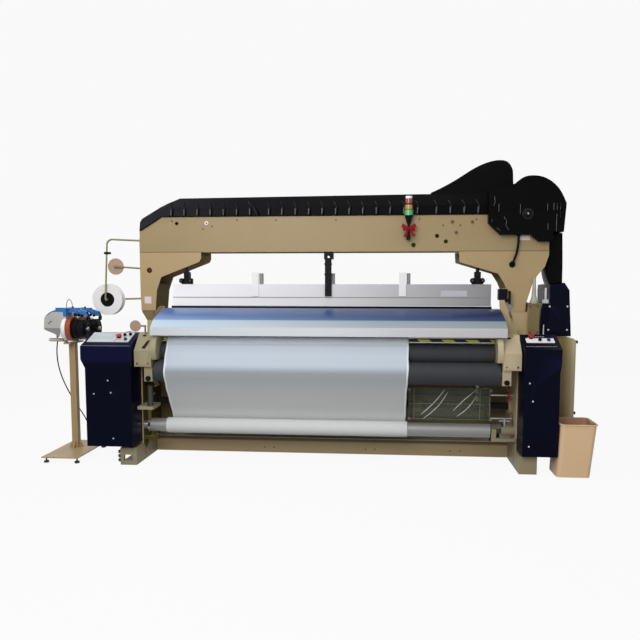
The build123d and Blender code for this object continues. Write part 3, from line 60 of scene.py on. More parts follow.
# Directions, and places that several functions share, in mm
RIGHT, FRONT, UP = (1, 0, 0), (0, -1, 0), (0, 0, 1)
ARCH_Y = 500.0                          # front face of the arch
ARCH_FRONT = ARCH_Y - 0.1               # just in front of it
ROLL_AXIS, TAKE_UP_AXIS = (200.0, 270.0), (85.0, 707.0)      # y and z
BRACKET_X, BRACKET_Y = 1308, 60         # centre of the roller brackets' stubs
WARP_AXIS = (1500, 520)                 # y and z
DOBBY_Y, DOBBY_BOSS = 440.0, (1499, 1876)       # front of the dobby cover, x and z of its bearing
WHITE_RING = (-969, 1830)               # x and z of the ringed bolts of the arch beam
RINGS = ((950, 1827), (1100, 1825), (980, 1746))
HOOKS_X = (-1142, 1152)                 # lifting hooks of the heald frames
RAIL_TOP = 1350.5
BOX_Y, BOX_Z = -50.0, 900.0             # front edge of the control boxes' sloping tops
LEFT_TILT, RIGHT_TILT = atan2(85, 230), atan2(90, 200)
LAMP_X, LAMP_Y = 616, 458
FEEDERS = (("front", 0, 0, 260), ("rear", 9, -8, 465))      # name, shift along x, shift up, y


def at(x, y, z):
    """Point of the drawing frame, in mm, as a point of the row frame, in metres."""
    return Vector((CENTRE_X + x * MM, FRONT_Y + y * MM, z * MM))


def drawn(point):
    """Point of the row frame, in metres, as a point of the drawing frame, in mm."""
    return Vector(((point.x - CENTRE_X) / MM, (point.y - FRONT_Y) / MM, point.z / MM))


def polar(centre, radius, angle):
    """Point of a circle about centre (a, b), angle in degrees."""
    turn = radians(angle)
    return centre[0] + radius * cos(turn), centre[1] + radius * sin(turn)


def arc_points(centre, radius, start, end, count):
    """Points on an arc about centre (a, b), angles in degrees."""
    return [polar(centre, radius, start + (end - start) * i / (count - 1)) for i in range(count)]


def new_object(name, data):
    made = bpy.data.objects.new(name, data)
    bpy.context.collection.objects.link(made)
    return made


# Materials


def hexed(code):
    """Linear colour of a six-digit display colour."""
    values = [int(code[i:i + 2], 16) / 255 for i in (0, 2, 4)]
    linear = [v / 12.92 if v <= 0.04045 else ((v + 0.055) / 1.055) ** 2.4 for v in values]
    return (*linear, 1.0)


def add_node(tree, kind, inputs=None, **values):
    """New shader node of a tree. An input is a plain value or another node's output."""
    made = tree.nodes.new("ShaderNode" + kind)
    for key, value in values.items():
        setattr(made, key, value)
    for key, value in (inputs or {}).items():
        if isinstance(value, bpy.types.NodeSocket):
            tree.links.new(value, made.inputs[key])
        else:
            made.inputs[key].default_value = value
    return made


class Shader:
    """A Principled material with helpers for colour variation, bump and roughness.

    gloss is its specular level, coat the weight and roughness of its coat.
    """

    def __init__(self, name, colour, roughness=0.5, metallic=0.0, gloss=0.5, coat=(0.0, 0.03), **inputs):
        self.material = bpy.data.materials.new(name)
        self.material.use_nodes = True
        self.tree = self.material.node_tree
        self.bsdf = self.tree.nodes["Principled BSDF"]
        self.colour = hexed(colour)
        inputs.update(
            Base_Color=self.colour, Roughness=roughness, Metallic=metallic, Specular_IOR_Level=gloss,
            Coat_Weight=coat[0], Coat_Roughness=coat[1],
        )
        for key, value in inputs.items():
            self.bsdf.inputs[key.replace("_", " ")].default_value = value
        self.coords = self.node("TexCoord").outputs["Object"]
        self.height = None

    def node(self, kind, inputs=None, **values):
        return add_node(self.tree, kind, inputs, **values)

    def link(self, output, name):
        self.tree.links.new(output, self.bsdf.inputs[name])
        return self

    def noise(self, scale, detail=3.0, stretch=(1, 1, 1)):
        place = self.node("Mapping", {"Vector": self.coords, "Scale": stretch})
        feeds = {"Vector": place.outputs["Vector"], "Scale": scale, "Detail": detail, "Roughness": 0.5}
        return self.node("TexNoise", feeds).outputs["Fac"]

    def waves(self, pitch, direction, distortion=0.0):
        """Bands with that pitch in metres across one axis."""
        feeds = {"Vector": self.coords, "Scale": pi / (10 * pitch), "Distortion": distortion}
        wave = self.node("TexWave", feeds, wave_type="BANDS", bands_direction=direction)
        return wave.outputs["Fac"]

    def math(self, operation, first, second):
        return self.node("Math", {0: first, 1: second}, operation=operation).outputs[0]

    def over(self, value, limit):
        return self.math("GREATER_THAN", value, limit)

    def axis(self, letter):
        return self.node("SeparateXYZ", {0: self.coords}).outputs[letter]

    def spread(self, value, start=0.0, end=1.0, low=0.0, high=1.0, kind="LINEAR"):
        """The value's way from start to end, laid on the way from low to high."""
        feeds = {"Value": value, "From Min": start, "From Max": end, "To Min": low, "To Max": high}
        return self.node("MapRange", feeds, interpolation_type=kind).outputs["Result"]

    def across(self, node):
        """0 at the left end of a CAD node, 1 at its right end."""
        low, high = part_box(node)
        return self.spread(self.axis("X"), low.x, high.x)

    def ramp(self, factor, *stops):
        """Colour ramp with stops of (position, display colour)."""
        ramp = self.node("ValToRGB", {"Fac": factor})
        elements = ramp.color_ramp.elements
        while len(elements) < len(stops):
            elements.new(0.5)
        for element, (position, colour) in zip(elements, stops):
            element.position = position
            element.color = hexed(colour)
        return ramp.outputs["Color"]

    def mix(self, factor, first, second):
        return self.node("Mix", {0: factor, 6: first, 7: second}, data_type="RGBA").outputs[2]

    def base(self, output):
        self.tone = output
        return self.link(output, "Base Color")

    def scaled(self, factor):
        """The material's own colour, darker or lighter."""
        return (*(min(max(value * factor, 0), 1) for value in self.colour[:3]), 1)

    def mottle(self, scale, amount, stretch=(1, 1, 1)):
        """Uneven tone: the colour runs from darker to lighter by amount."""
        noise = self.noise(scale, 4.0, stretch)
        return self.base(self.mix(noise, self.scaled(1 - amount), self.scaled(1 + amount)))

    def edge_wear_and_highlight(self, amount, light):
        """Lighter edges, from the surface's own curvature: rubbed edges on plain paint, a painted highlight
        on the dark box paint.
        """
        pointed = self.node("NewGeometry").outputs["Pointiness"]
        edge = self.spread(pointed, 0.52, 0.62, 0.0, amount)
        return self.base(self.mix(edge, self.tone, self.scaled(light)))

    def rough(self, scale, low, high, stretch=(1, 1, 1)):
        return self.link(self.spread(self.noise(scale, 3.0, stretch), 0.0, 1.0, low, high), "Roughness")

    def bump(self, height, strength, depth):
        """Bump of that depth in metres, on top of the bumps set before."""
        feeds = {"Strength": strength, "Distance": depth, "Height": height}
        if self.height is not None:
            feeds["Normal"] = self.height
        self.height = self.node("Bump", feeds).outputs["Normal"]
        return self.link(self.height, "Normal")

    def grain(self, scale, strength, depth, detail=2, stretch=(1, 1, 1)):
        return self.bump(self.noise(scale, detail, stretch), strength, depth)


def paint(name, colour, roughness=0.42, cast=False, coat=0.08):
    """Machine paint: uneven tone, rubbed edges, orange peel, and a casting's skin under it."""
    shader = Shader(name, colour, roughness, gloss=0.35, coat=(coat, 0.25))
    shader.mottle(2.2, 0.06).edge_wear_and_highlight(0.25, 1.25).rough(9, roughness - 0.06, roughness + 0.12)
    if cast:
        shader.grain(95, 0.35, 0.0006, 5)
    return shader.grain(420, 0.18, 0.0002).material


def dark_paint(name, colour):
    """Deep gloss paint of the boxes: low sheen on the faces, and a painted highlight that lightens the edges.
    """
    shader = Shader(name, colour, 0.3, gloss=0.04, coat=(0.01, 0.2))
    # Edges made six times lighter: a painted highlight.
    shader.mottle(2.5, 0.15).edge_wear_and_highlight(0.4, 6.0).rough(6, 0.24, 0.4)
    return shader.grain(380, 0.1, 0.0002).material


def moulded(name, colour, roughness=0.38, grain=900, amount=0.1, gloss=0.5):
    """Moulded plastic: fine grain and a faint uneven tone."""
    shader = Shader(name, colour, roughness, gloss=gloss)
    shader.mottle(3.5, amount).rough(14, roughness - 0.06, roughness + 0.1)
    return shader.grain(grain, 0.12, 0.00015).material


def cabinet_paint():
    """Cabinet enamel: olive beige, with painted shade on the front that gives way to painted light towards
    the outer edge.
    """
    shader = Shader("cabinet_paint", "8A7A4E", 0.42, gloss=0.35, coat=(0.08, 0.3)).mottle(2.2, 0.06)
    # Painted shade and light across x: dark olive at the inner side, pale at the outer edge.
    reach = shader.spread(shader.axis("X"), at(1700, 0, 0).x, at(1842, 0, 0).x)
    tone = shader.ramp(
        reach, (0.0, "574720"), (0.45, "645320"), (0.8, "94855E"), (0.93, "B0A384"), (1.0, "A59A82")
    )
    shader.base(shader.mix(0.92, shader.tone, tone)).rough(9, 0.36, 0.52)
    return shader.grain(420, 0.18, 0.0002).material


def feeder_shell(name, shift, drop):
    """Feeder body: blue above the line of its top shell, silver grey below it, with painted shade that
    darkens its lower part.
    """
    shader = Shader(name, "A9A8A4", 0.34, 0.2).mottle(9, 0.12)
    x, z = shader.axis("X"), shader.axis("Z")
    start = at(-2190 + shift, 0, 1096 + drop)
    sloping = shader.math("MULTIPLY", shader.math("SUBTRACT", x, start.x), 0.6)
    line = shader.math("MINIMUM", shader.math("ADD", sloping, start.z), (1137 + drop) * MM)
    above = shader.over(shader.math("SUBTRACT", z, line), 0.0)
    arm_start = at(-2036 + shift, 0, 1100 + drop)
    arm = shader.math("MULTIPLY", shader.over(x, arm_start.x), shader.over(z, arm_start.z))
    # Painted shade: the silver body turns darker grey below 1012 mm.
    grey = shader.mix(shader.over(z, (1012 + drop) * MM), hexed("7D7C77"), shader.tone)
    shader.base(shader.mix(shader.math("MAXIMUM", above, arm), grey, hexed("1F66A8")))
    return shader.rough(14, 0.26, 0.42).grain(600, 0.12, 0.00015).material


def cover_plastic():
    """Black cover plastic with painted light that greys it towards the left end, and a fine leather grain."""
    shader = Shader("cover_plastic", "09090A", 0.45, gloss=0.03)
    # Painted light: the tone runs from grey at the left end to black at the right.
    tone = shader.ramp(
        shader.across("beam_cover"), (0.0, "2B2B30"), (0.3, "101013"), (0.6, "070708"), (1.0, "040405")
    )
    darker = shader.mix(shader.noise(5, 4), tone, shader.colour)
    shader.base(shader.mix(0.3, tone, darker)).rough(10, 0.32, 0.5)
    return shader.grain(520, 0.2, 0.0002, 3).material


def turned(name, colour, roughness=0.28, along=(1, 90, 90), metallic=1.0):
    """Metal with fine lines left by turning or brushing."""
    shader = Shader(name, colour, roughness, metallic).mottle(6, 0.08, along)
    shader.rough(12, roughness - 0.06, roughness + 0.14, along)
    return shader.grain(30, 0.08, 0.0001, 3, along).material


def grip_cover():
    """Dark covering of the cloth rollers: a wrapped strip with a fine grain."""
    shader = Shader("grip_cover", "37383C", 0.6, gloss=0.12)
    shader.mottle(5, 0.12, (4, 1, 1)).rough(20, 0.5, 0.72).grain(700, 0.5, 0.0004, 3)
    return shader.bump(shader.waves(0.045, "X", 0.4), 0.15, 0.0003).material


def woven(name, colour, pitch=0.0014, shade=None):
    """Plain weave: crossed threads, faint bars across the cloth, soft slack, and painted light and shade over
    the height when a shade is given.
    """
    shader = Shader(name, colour, 0.75, gloss=0.2, Sheen_Weight=0.1, Sheen_Roughness=0.4)
    shader.mottle(1.6, 0.03, (0.5, 1, 3))
    if shade:
        shader.base(shader.mix(0.9, shader.tone, shader.ramp(shader.axis("Z"), *shade)))
    weave = shader.math("MULTIPLY", shader.waves(pitch, "X"), shader.waves(pitch, "Z"))
    return shader.bump(weave, 0.35, 0.0003).grain(2.2, 0.22, 0.01, 2, (2.5, 1, 0.5)).material


def yarn_face():
    """Yarn lying side by side: fine ridges across x."""
    shader = Shader("yarn", "D2D0C8", 0.55, Sheen_Weight=0.3).mottle(5, 0.06, (14, 1, 1))
    return shader.bump(shader.waves(0.0035, "X", 0.6), 0.6, 0.0006).material


def hood_sheet():
    """Blue coated sheet: silver lip, a pale band of painted reflection, then blue with painted shade that
    deepens to the right.
    """
    shader = Shader("hood_sheet", "4F6BA8", 0.3, gloss=0.3, coat=(0.1, 0.1))
    side = shader.across("reed_hood")
    # Painted shade: the blue deepens from left to right.
    tone = shader.ramp(
        side, (0.0, "657FB2"), (0.2, "506A9A"), (0.5, "384D79"), (0.8, "20335F"), (1.0, "152648")
    )
    # Each band lies below the last; it gives way upwards between its two heights, in metres. Every band
    # darkens to the right as painted shade, and the pale band is a painted reflection.
    for low, high, *stops in (
        (1.092, 1.135, (0.0, "7999C9"), (0.3, "5E7BA4"), (0.7, "3D557C"), (1.0, "203560")),
        (1.083, 1.092, (0.0, "B4C8DA"), (0.3, "ABB8C3"), (0.65, "8F9CA3"), (1.0, "849195")),
        (1.0365, 1.0425, (0.0, "B4BBBF"), (0.5, "B6B8BB"), (1.0, "B1ADB0")),
    ):
        step = shader.spread(shader.axis("Z"), low, high, kind="SMOOTHSTEP")
        tone = shader.mix(step, shader.ramp(side, *stops), tone)
    shader.base(tone).rough(6, 0.24, 0.38, (0.6, 4, 4))
    return shader.grain(1.4, 0.08, 0.006, 2, (1, 3, 3)).material


def rail_metal():
    """Anodised heald rail, made lighter to the left by painted light."""
    shader = Shader("rail_metal", "C9C6C8", 0.4, gloss=0.4)
    side = shader.across("heald_frame_1")
    # Painted light: the rail runs from near white at the left to grey at the right.
    shader.base(shader.ramp(side, (0.0, "EFEDED"), (0.45, "D3D0D2"), (1.0, "868587")))
    return shader.rough(10, 0.32, 0.46, (0.5, 30, 30)).grain(24, 0.06, 0.0002, 3, (1, 70, 70)).material


def shaded_beam():
    """Front cross beam: painted shade under the roll of cloth, painted light on its lower face."""
    shader = Shader("shaded_beam", "AC9468", 0.5, gloss=0.3).mottle(2.2, 0.06)
    # Stops by height in metres: painted light low down, painted shade from 0.099 to 0.122, and a painted
    # highlight on the top edge.
    tone = shader.ramp(
        shader.axis("Z"), (0.0, "BFAA84"), (0.080, "B9A47E"), (0.0935, "B09B76"), (0.099, "6F5F40"),
        (0.108, "3C3218"), (0.1215, "33290F"), (0.1225, "A59B84"),
    )
    shader.base(shader.mix(0.85, shader.tone, tone)).rough(9, 0.42, 0.56)
    return shader.grain(420, 0.18, 0.0002).material


def hazard_stripes():
    """Slanting yellow patches on black."""
    start, pitch, black_share = 0.112, 0.1735, 0.52
    low, high = 0.9345, 0.9495
    shader = Shader("hazard_stripes", "E3D321", 0.5, gloss=0.2)
    height = shader.axis("Z")
    slant = shader.math("ADD", shader.axis("X"), shader.math("MULTIPLY", height, 1.5))
    part = shader.math("FRACT", shader.math("DIVIDE", shader.math("ADD", slant, start), pitch), 0.0)
    band = shader.math("MULTIPLY", shader.over(height, low), shader.math("LESS_THAN", height, high))
    stripe = shader.math("MULTIPLY", shader.over(part, black_share), band)
    return shader.base(shader.mix(stripe, hexed("16150F"), hexed("D8D43A"))).rough(20, 0.4, 0.6).material


def clear_plastic():
    """Clear sheet with a faint olive cast: mostly see-through, with a thin sheen and fine scratches."""
    shader = Shader("clear_plastic", "8E9482", 0.12)
    shader.mottle(3, 0.2).rough(5, 0.06, 0.2, (1, 1, 4))
    through = shader.node("BsdfTransparent", {"Color": hexed("E3E8DC")}).outputs[0]
    share = shader.spread(shader.noise(7, 4, (1, 1, 5)), 0.0, 1.0, 0.1, 0.2)
    blend = shader.node("MixShader", {0: share, 1: through, 2: shader.bsdf.outputs[0]})
    shader.tree.links.new(blend.outputs[0], shader.tree.nodes["Material Output"].inputs["Surface"])
    return shader.material


def glow(name, colour):
    """Coloured lamp glass, unlit."""
    shader = Shader(name, colour, 0.25, coat=(0.5, 0.08)).mottle(30, 0.1)
    return shader.bump(shader.waves(0.006, "Z"), 0.25, 0.0006).material


BEIGE = paint("beige_paint", "9F8861")
# The beige paint made darker for the arch beam: painted shade.
BEIGE_SHADED = paint("beige_paint_shaded", "8F7B55")
CAST = paint("beige_cast", "A7946F", 0.5, cast=True)
# A shaded and a lit copy of one cast paint: painted shade on the left roller bracket, painted light on the
# right one.
CAST_SHADED = paint("grey_cast_painted_shade", "8D8467", 0.5, cast=True)
CAST_LIT = paint("pale_cast_painted_light", "AA9A7C", 0.4, cast=True, coat=0.35)
FOOT = paint("foot_cast", "857A5E", 0.55, cast=True)
# Olive paint of housings; also painted shade on the shaded faces of the right frame, the right leg and the
# cross girder.
OLIVE = paint("olive_housing_and_painted_shade", "6A5B38", 0.52, cast=True)
MOTOR = paint("motor_paint", "4A5560", 0.45, cast=True)
# Dark brown of the joint line between legs and beam, standing in for the shade in its gap.
JOINT_DARK = paint("joint_brown_painted_shade", "57482E", 0.6)
CABINET = cabinet_paint()
NAVY = dark_paint("navy_paint", "040517")
# Lighter navy for the fold line of the left box: painted highlight.
NAVY_FOLD_HIGHLIGHT = dark_paint("navy_fold_highlight", "12142A")
# Dark brown-black of the lower sley and the pad on the front beam, and painted shade on the main shaft and in
# the bracket recesses.
DARK_AND_SHADE = moulded("dark_and_painted_shade", "1D1A14", 0.5, gloss=0.1)
PLUG = moulded("brown_plug", "40290E", 0.5, gloss=0.1)
# Dark olive cast: painted shade on the inner and shaded faces of the left frame and leg.
SHADED = moulded("olive_cast_painted_shade", "4C3F10", 0.6, gloss=0.06)
EDGE_OLIVE = moulded("edge_olive", "6F6E52", 0.35)
BLACK_PAINT = moulded("black_paint", "0A0A0C", 0.42, gloss=0.1)
COVER_GLOSS = moulded("cover_gloss", "050506", 0.36, 700, gloss=0.035)
# Grey streaks beside the cover ribs: painted highlight.
COVER_HIGHLIGHT = moulded("cover_highlight", "6E6E72", 0.45)
# Grey lines on the edges of the cover and dobby ribs: painted highlight.
RIB_HIGHLIGHT = moulded("rib_highlight", "4C4C52", 0.4)
CAP_GREY = moulded("cap_grey", "1E1E21", 0.35, gloss=0.1)
BLACK = moulded("black_plastic", "09090A", 0.4, gloss=0.08)
WHITE = moulded("white_plastic", "E2E0DF", 0.45, amount=0.03)
GREY = moulded("grey_plastic", "7C7D7D", 0.45)
LABEL = moulded("label_paper", "CFC8C6", 0.6, amount=0.03)
PLATE = moulded("rail_plate", "B3B1B8", 0.4, amount=0.03)
RED = moulded("red_plastic", "A5101F", 0.3)
GREEN = moulded("green_plastic", "0B4220", 0.35)
BLUE_CAP = moulded("blue_plastic", "182C78", 0.35)
BIN = moulded("bin_plastic", "D3B28A", 0.5, amount=0.04)
# Inner faces of the bin: the bin plastic darkened as painted shade.
BIN_SHADE = moulded("bin_inner_shade", "A87E64", 0.6, amount=0.05)
FEEDER_BLUE = moulded("feeder_blue", "1F66A8", 0.3, amount=0.25)
RING_ORANGE = moulded("ring_orange", "8A3812", 0.38, amount=0.2)
BOTTLE = moulded("bottle_plastic", "9A9C86", 0.35)
DISC = moulded("disc_plastic", "AA8B79", 0.55)
SCREEN = moulded("screen_glass", "A9B7B6", 0.15, amount=0.04)
SCREEN_TONE = moulded("screen_tone", "B8C4C2", 0.2, amount=0.03)
INK = moulded("ink", "1A1B20", 0.6)
CABLE = moulded("cable_skin", "08080A", 0.5, gloss=0.06)
STEEL = turned("turned_steel", "ABABAC", 0.3, metallic=0.8)
STEEL_Z = turned("drawn_steel", "A3A3A1", 0.32, (60, 60, 1), 0.8)
DARK_STEEL = turned("dark_steel", "2E2C28", 0.45, metallic=0.25)
SILVER = turned("silver_plate", "C6C8CA", 0.36, (60, 60, 1), 0.25)
ALUMINIUM = turned("aluminium", "B4B6B8", 0.38, metallic=0.7)
TUBE = turned("cloth_tube", "858583", 0.4, metallic=0.25)
BRASS = turned("olive_rod", "7D7A4E", 0.4, (20, 20, 20), 0.4)
COVER = cover_plastic()
GRIP = grip_cover()
# Tone of the cloth over its height in metres, painted light and shade: lighter above the roller, greyer and
# darker below it
CLOTH_SHADE = (
    (0.300, "CDCECB"), (0.345, "CFD0CD"), (0.368, "D0D1CF"), (0.421, "C1C3C1"), (0.472, "C1C2C1"),
    (0.573, "B8BABC"), (0.655, "AEB0B4"), (0.671, "A9ABAE"), (0.687, "9A9CA0"), (0.702, "909498"),
    (0.716, "90969E"), (0.731, "9AA3AC"), (0.745, "A7AFB9"), (0.765, "B3BDC7"), (0.800, "B6C0CA"),
    (0.840, "BFC9D4"), (0.890, "C3CBD6"), (0.901, "C6CED8"), (0.905, "AEB4BD"), (0.909, "D6DCE4"),
    (0.930, "F0F4F8"), (0.960, "F4F8FC"),
)
CLOTH = woven("cloth", "BCC4CC", shade=CLOTH_SHADE)
SELVEDGE = woven("selvedge", "E4E8EA")
ROLL_CLOTH = woven("roll_cloth", "CBCBCB")
RIBBON = woven("ribbon", "7C0E1B", 0.0006)
YARN = yarn_face()
HOOD = hood_sheet()
RAIL = rail_metal()
HAZARD = hazard_stripes()
SHADED_BEAM = shaded_beam()
CLEAR = clear_plastic()
LAMP_GREEN = glow("lamp_green", "2F9A4E")
LAMP_LIME = glow("lamp_lime", "8FD8A0")
LAMP_AMBER = glow("lamp_amber", "9A7414")
LAMP_RED = glow("lamp_red", "7C0C26")


# CAD nodes: a region is (material, test of a face's centre in mm and its normal), the first that fits wins


def dress(node, default, *regions, edges=None, width=4.0):
    """Give a CAD node its materials, smooth its curved faces and round the edges that a test picks."""
    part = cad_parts[node]
    mesh = part.data
    mesh.materials.clear()
    for material in (default, *(region[0] for region in regions)):
        mesh.materials.append(material)
    if "custom_normal" in mesh.attributes:
        mesh.attributes.remove(mesh.attributes["custom_normal"])
    for face in mesh.polygons:
        centre = drawn(face.center)
        fits = (index for index, (_, test) in enumerate(regions, start=1) if test(centre, face.normal))
        face.material_index = next(fits, 0)
        face.use_smooth = True
    part.modifiers.new("weld", "WELD").merge_threshold = 0.00002
    if edges:
        weights = mesh.attributes.new("bevel_weight_edge", "FLOAT", "EDGE")
        for edge in mesh.edges:
            if edges(*(drawn(mesh.vertices[index].co) for index in edge.vertices)):
                weights.data[edge.index].value = 1.0
        bevel = part.modifiers.new("round_edges", "BEVEL")
        bevel.width = width * MM
        bevel.segments = 3
        bevel.limit_method = "WEIGHT"
    part.modifiers.new("sharp_edges", "EDGE_SPLIT").split_angle = radians(27)


def near(centre, place, radius):
    """Whether a face's centre lies within radius of a place (x, z) in front view."""
    return (centre.x - place[0]) ** 2 + (centre.z - place[1]) ** 2 < radius**2


def by_roll(centre):
    """Whether a face belongs to the bearing of the roll of cloth."""
    return max(abs(centre.y - ROLL_AXIS[0]), abs(centre.z - ROLL_AXIS[1])) < 36


def by_stub(centre):
    """Whether a face belongs to the stub of the left roller bracket."""
    return max(abs(centre.x + BRACKET_X), abs(centre.y - BRACKET_Y)) < 40


def bin_inner_shade(centre, normal):
    """Faces of the bin that look inwards."""
    low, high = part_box("waste_bin")
    middle = drawn((low + high) / 2)
    inward = (centre.x - middle.x) * normal.x + (centre.y - middle.y) * normal.y < 0
    return centre.z < 372 and (inward or (normal.z > 0.5 and centre.z < 20))


def dress_structure():
    """Castings, beams, covers and cabinets."""
    dress(
        "side_frame_left", CAST,
        (DARK_STEEL, lambda c, n: c.x < -1528.5 and c.y < 60),
        (DISC, lambda c, n: c.x < -1530 and c.z > 960 and 518 < c.y < 524),
        (BRASS, lambda c, n: c.x < -1492 and 952 < c.z < 1062 and 500 < c.y < 545),
        (STEEL, lambda c, n: c.x > -1396 and by_roll(c)),
        # Painted shade on the inner faces and the lower front of the frame.
        (SHADED, lambda c, n: 110 < c.z < 700 and c.y < 1100 and (n.x > 0.5 or (n.y < -0.5 and c.x > -1440))),
        (FOOT, lambda c, n: c.z < 330),
        (OLIVE, lambda c, n: 1080 < c.z < 1172 and n.y < -0.5),
    )
    dress(
        "side_frame_right", CAST,
        (BLACK, lambda c, n: c.z > 1198 and 1298 < c.x < 1394 and c.y < 494),
        # Painted shade on the outer top of the frame.
        (OLIVE, lambda c, n: c.x > 1528.5 and c.z > 965),
        # Painted shade on the inner faces of the frame.
        (OLIVE, lambda c, n: c.z > 952 and c.y > 506 and n.x < -0.3),
        (STEEL, lambda c, n: 1280 < c.x < 1370 and 306 < c.z < 380),
        (DARK_STEEL, lambda c, n: c.x < 1330 and by_roll(c)),
        (FOOT, lambda c, n: c.z < 330),
    )
    # Left roller bracket in the darker copy of the cast paint: painted shade.
    dress(
        "roller_bracket_left", CAST_SHADED,
        (BLACK, lambda c, n: 585 < c.z < 633 and by_stub(c)),
        (DARK_STEEL, lambda c, n: 440 < c.z < 633 and by_stub(c)),
        (BLACK, lambda c, n: c.y < 20 and c.z < 680 and abs(c.x + 1306) < 20),
    )
    # Right roller bracket in the paler copy of the cast paint: painted light.
    dress("roller_bracket_right", CAST_LIT, (BLACK, lambda c, n: c.y < 19.5 and c.z < 680))
    # Painted shade on the inner and lower faces of the leg.
    dress("arch_leg_left", BEIGE, (SHADED, lambda c, n: c.y > ARCH_Y + 1 and (n.x > 0.3 or n.z < -0.5)))
    dress(
        "arch_leg_right", BEIGE,
        (BLACK, lambda c, n: c.y < ARCH_FRONT),
        # Painted shade on the inner and lower faces of the leg.
        (OLIVE, lambda c, n: c.y > ARCH_Y + 1 and (n.x < -0.3 or n.z < -0.5)),
    )
    dress(
        "arch_beam", BEIGE_SHADED,
        (WHITE, lambda c, n: c.y < ARCH_Y - 1 and near(c, WHITE_RING, 18)),
        (OLIVE, lambda c, n: c.y < ARCH_Y - 1 and any(near(c, place, 18) for place in RINGS)),
        (DARK_STEEL, lambda c, n: c.y < ARCH_FRONT),
    )
    dress("dobby_cover", COVER_GLOSS, (CAP_GREY, lambda c, n: c.y < 428.5 and near(c, DOBBY_BOSS, 50)))
    dress("belt_guard", COVER_GLOSS, edges=lambda a, b: abs(a.y - b.y) < 1, width=8)
    dress(
        "drive_cover", NAVY,
        (STEEL_Z, lambda c, n: c.x < 1702 and c.z > 1205 and c.y < 601),
        (WHITE, lambda c, n: c.x < 1668 and c.y < 537 and c.z < 1042),
        (STEEL, lambda c, n: c.y < 539.5),
        edges=lambda a, b: a.y < 541 and b.y < 541 and a.z > 945 and a.x > 1700 or (a - b).length > 150,
        width=9,
    )
    dress(
        "electrical_cabinet", CABINET,
        (GREY, lambda c, n: 1536 < c.x < 1700 and 330 < c.y < 770 and 365 < c.z < 915),
    )
    dress("cabinet_door", CABINET, (BLACK, lambda c, n: c.x > 1851))
    dress("centre_guide", BLACK_PAINT, (STEEL, lambda c, n: c.y < 499.5 and c.z > 1535))
    dress("waste_bin", BIN, (BIN_SHADE, bin_inner_shade))


def slope_point(tilt, along, up=0.0):
    """y and z of a point on a sloping top, that far along it and above it."""
    y = BOX_Y + along * cos(tilt) - up * sin(tilt)
    z = BOX_Z + along * sin(tilt) + up * cos(tilt)
    return y, z


def slope_read(centre, tilt):
    """How far along a sloping top a point lies, and how high above it."""
    y, z = centre.y - BOX_Y, centre.z - BOX_Z
    return y * cos(tilt) + z * sin(tilt), z * cos(tilt) - y * sin(tilt)


def on_screen(centre, normal):
    along, up = slope_read(centre, LEFT_TILT)
    return -1750 < centre.x < -1583 and normal.z > 0.9 and up < 3.5 and 88 < along < 208


def dress_panels():
    """Control boxes and their panels."""
    top = 886
    dress(
        "control_box_left", NAVY,
        (STEEL, lambda c, n: c.y < BOX_Y - 0.5 and c.z < 700),
        (BLACK, lambda c, n: c.x < -1761.5 and c.z < 200),
    )
    dress(
        "control_panel_left", SILVER,
        (SCREEN, on_screen),
        (BLACK, lambda c, n: slope_read(c, LEFT_TILT)[1] > 3.5 and c.x > -1565),
    )
    dress(
        "control_box_right", NAVY,
        (BLACK, lambda c, n: c.z > top and slope_read(c, RIGHT_TILT)[1] > 3.4),
        (WHITE, lambda c, n: c.z > top and slope_read(c, RIGHT_TILT)[1] > 0.4),
    )


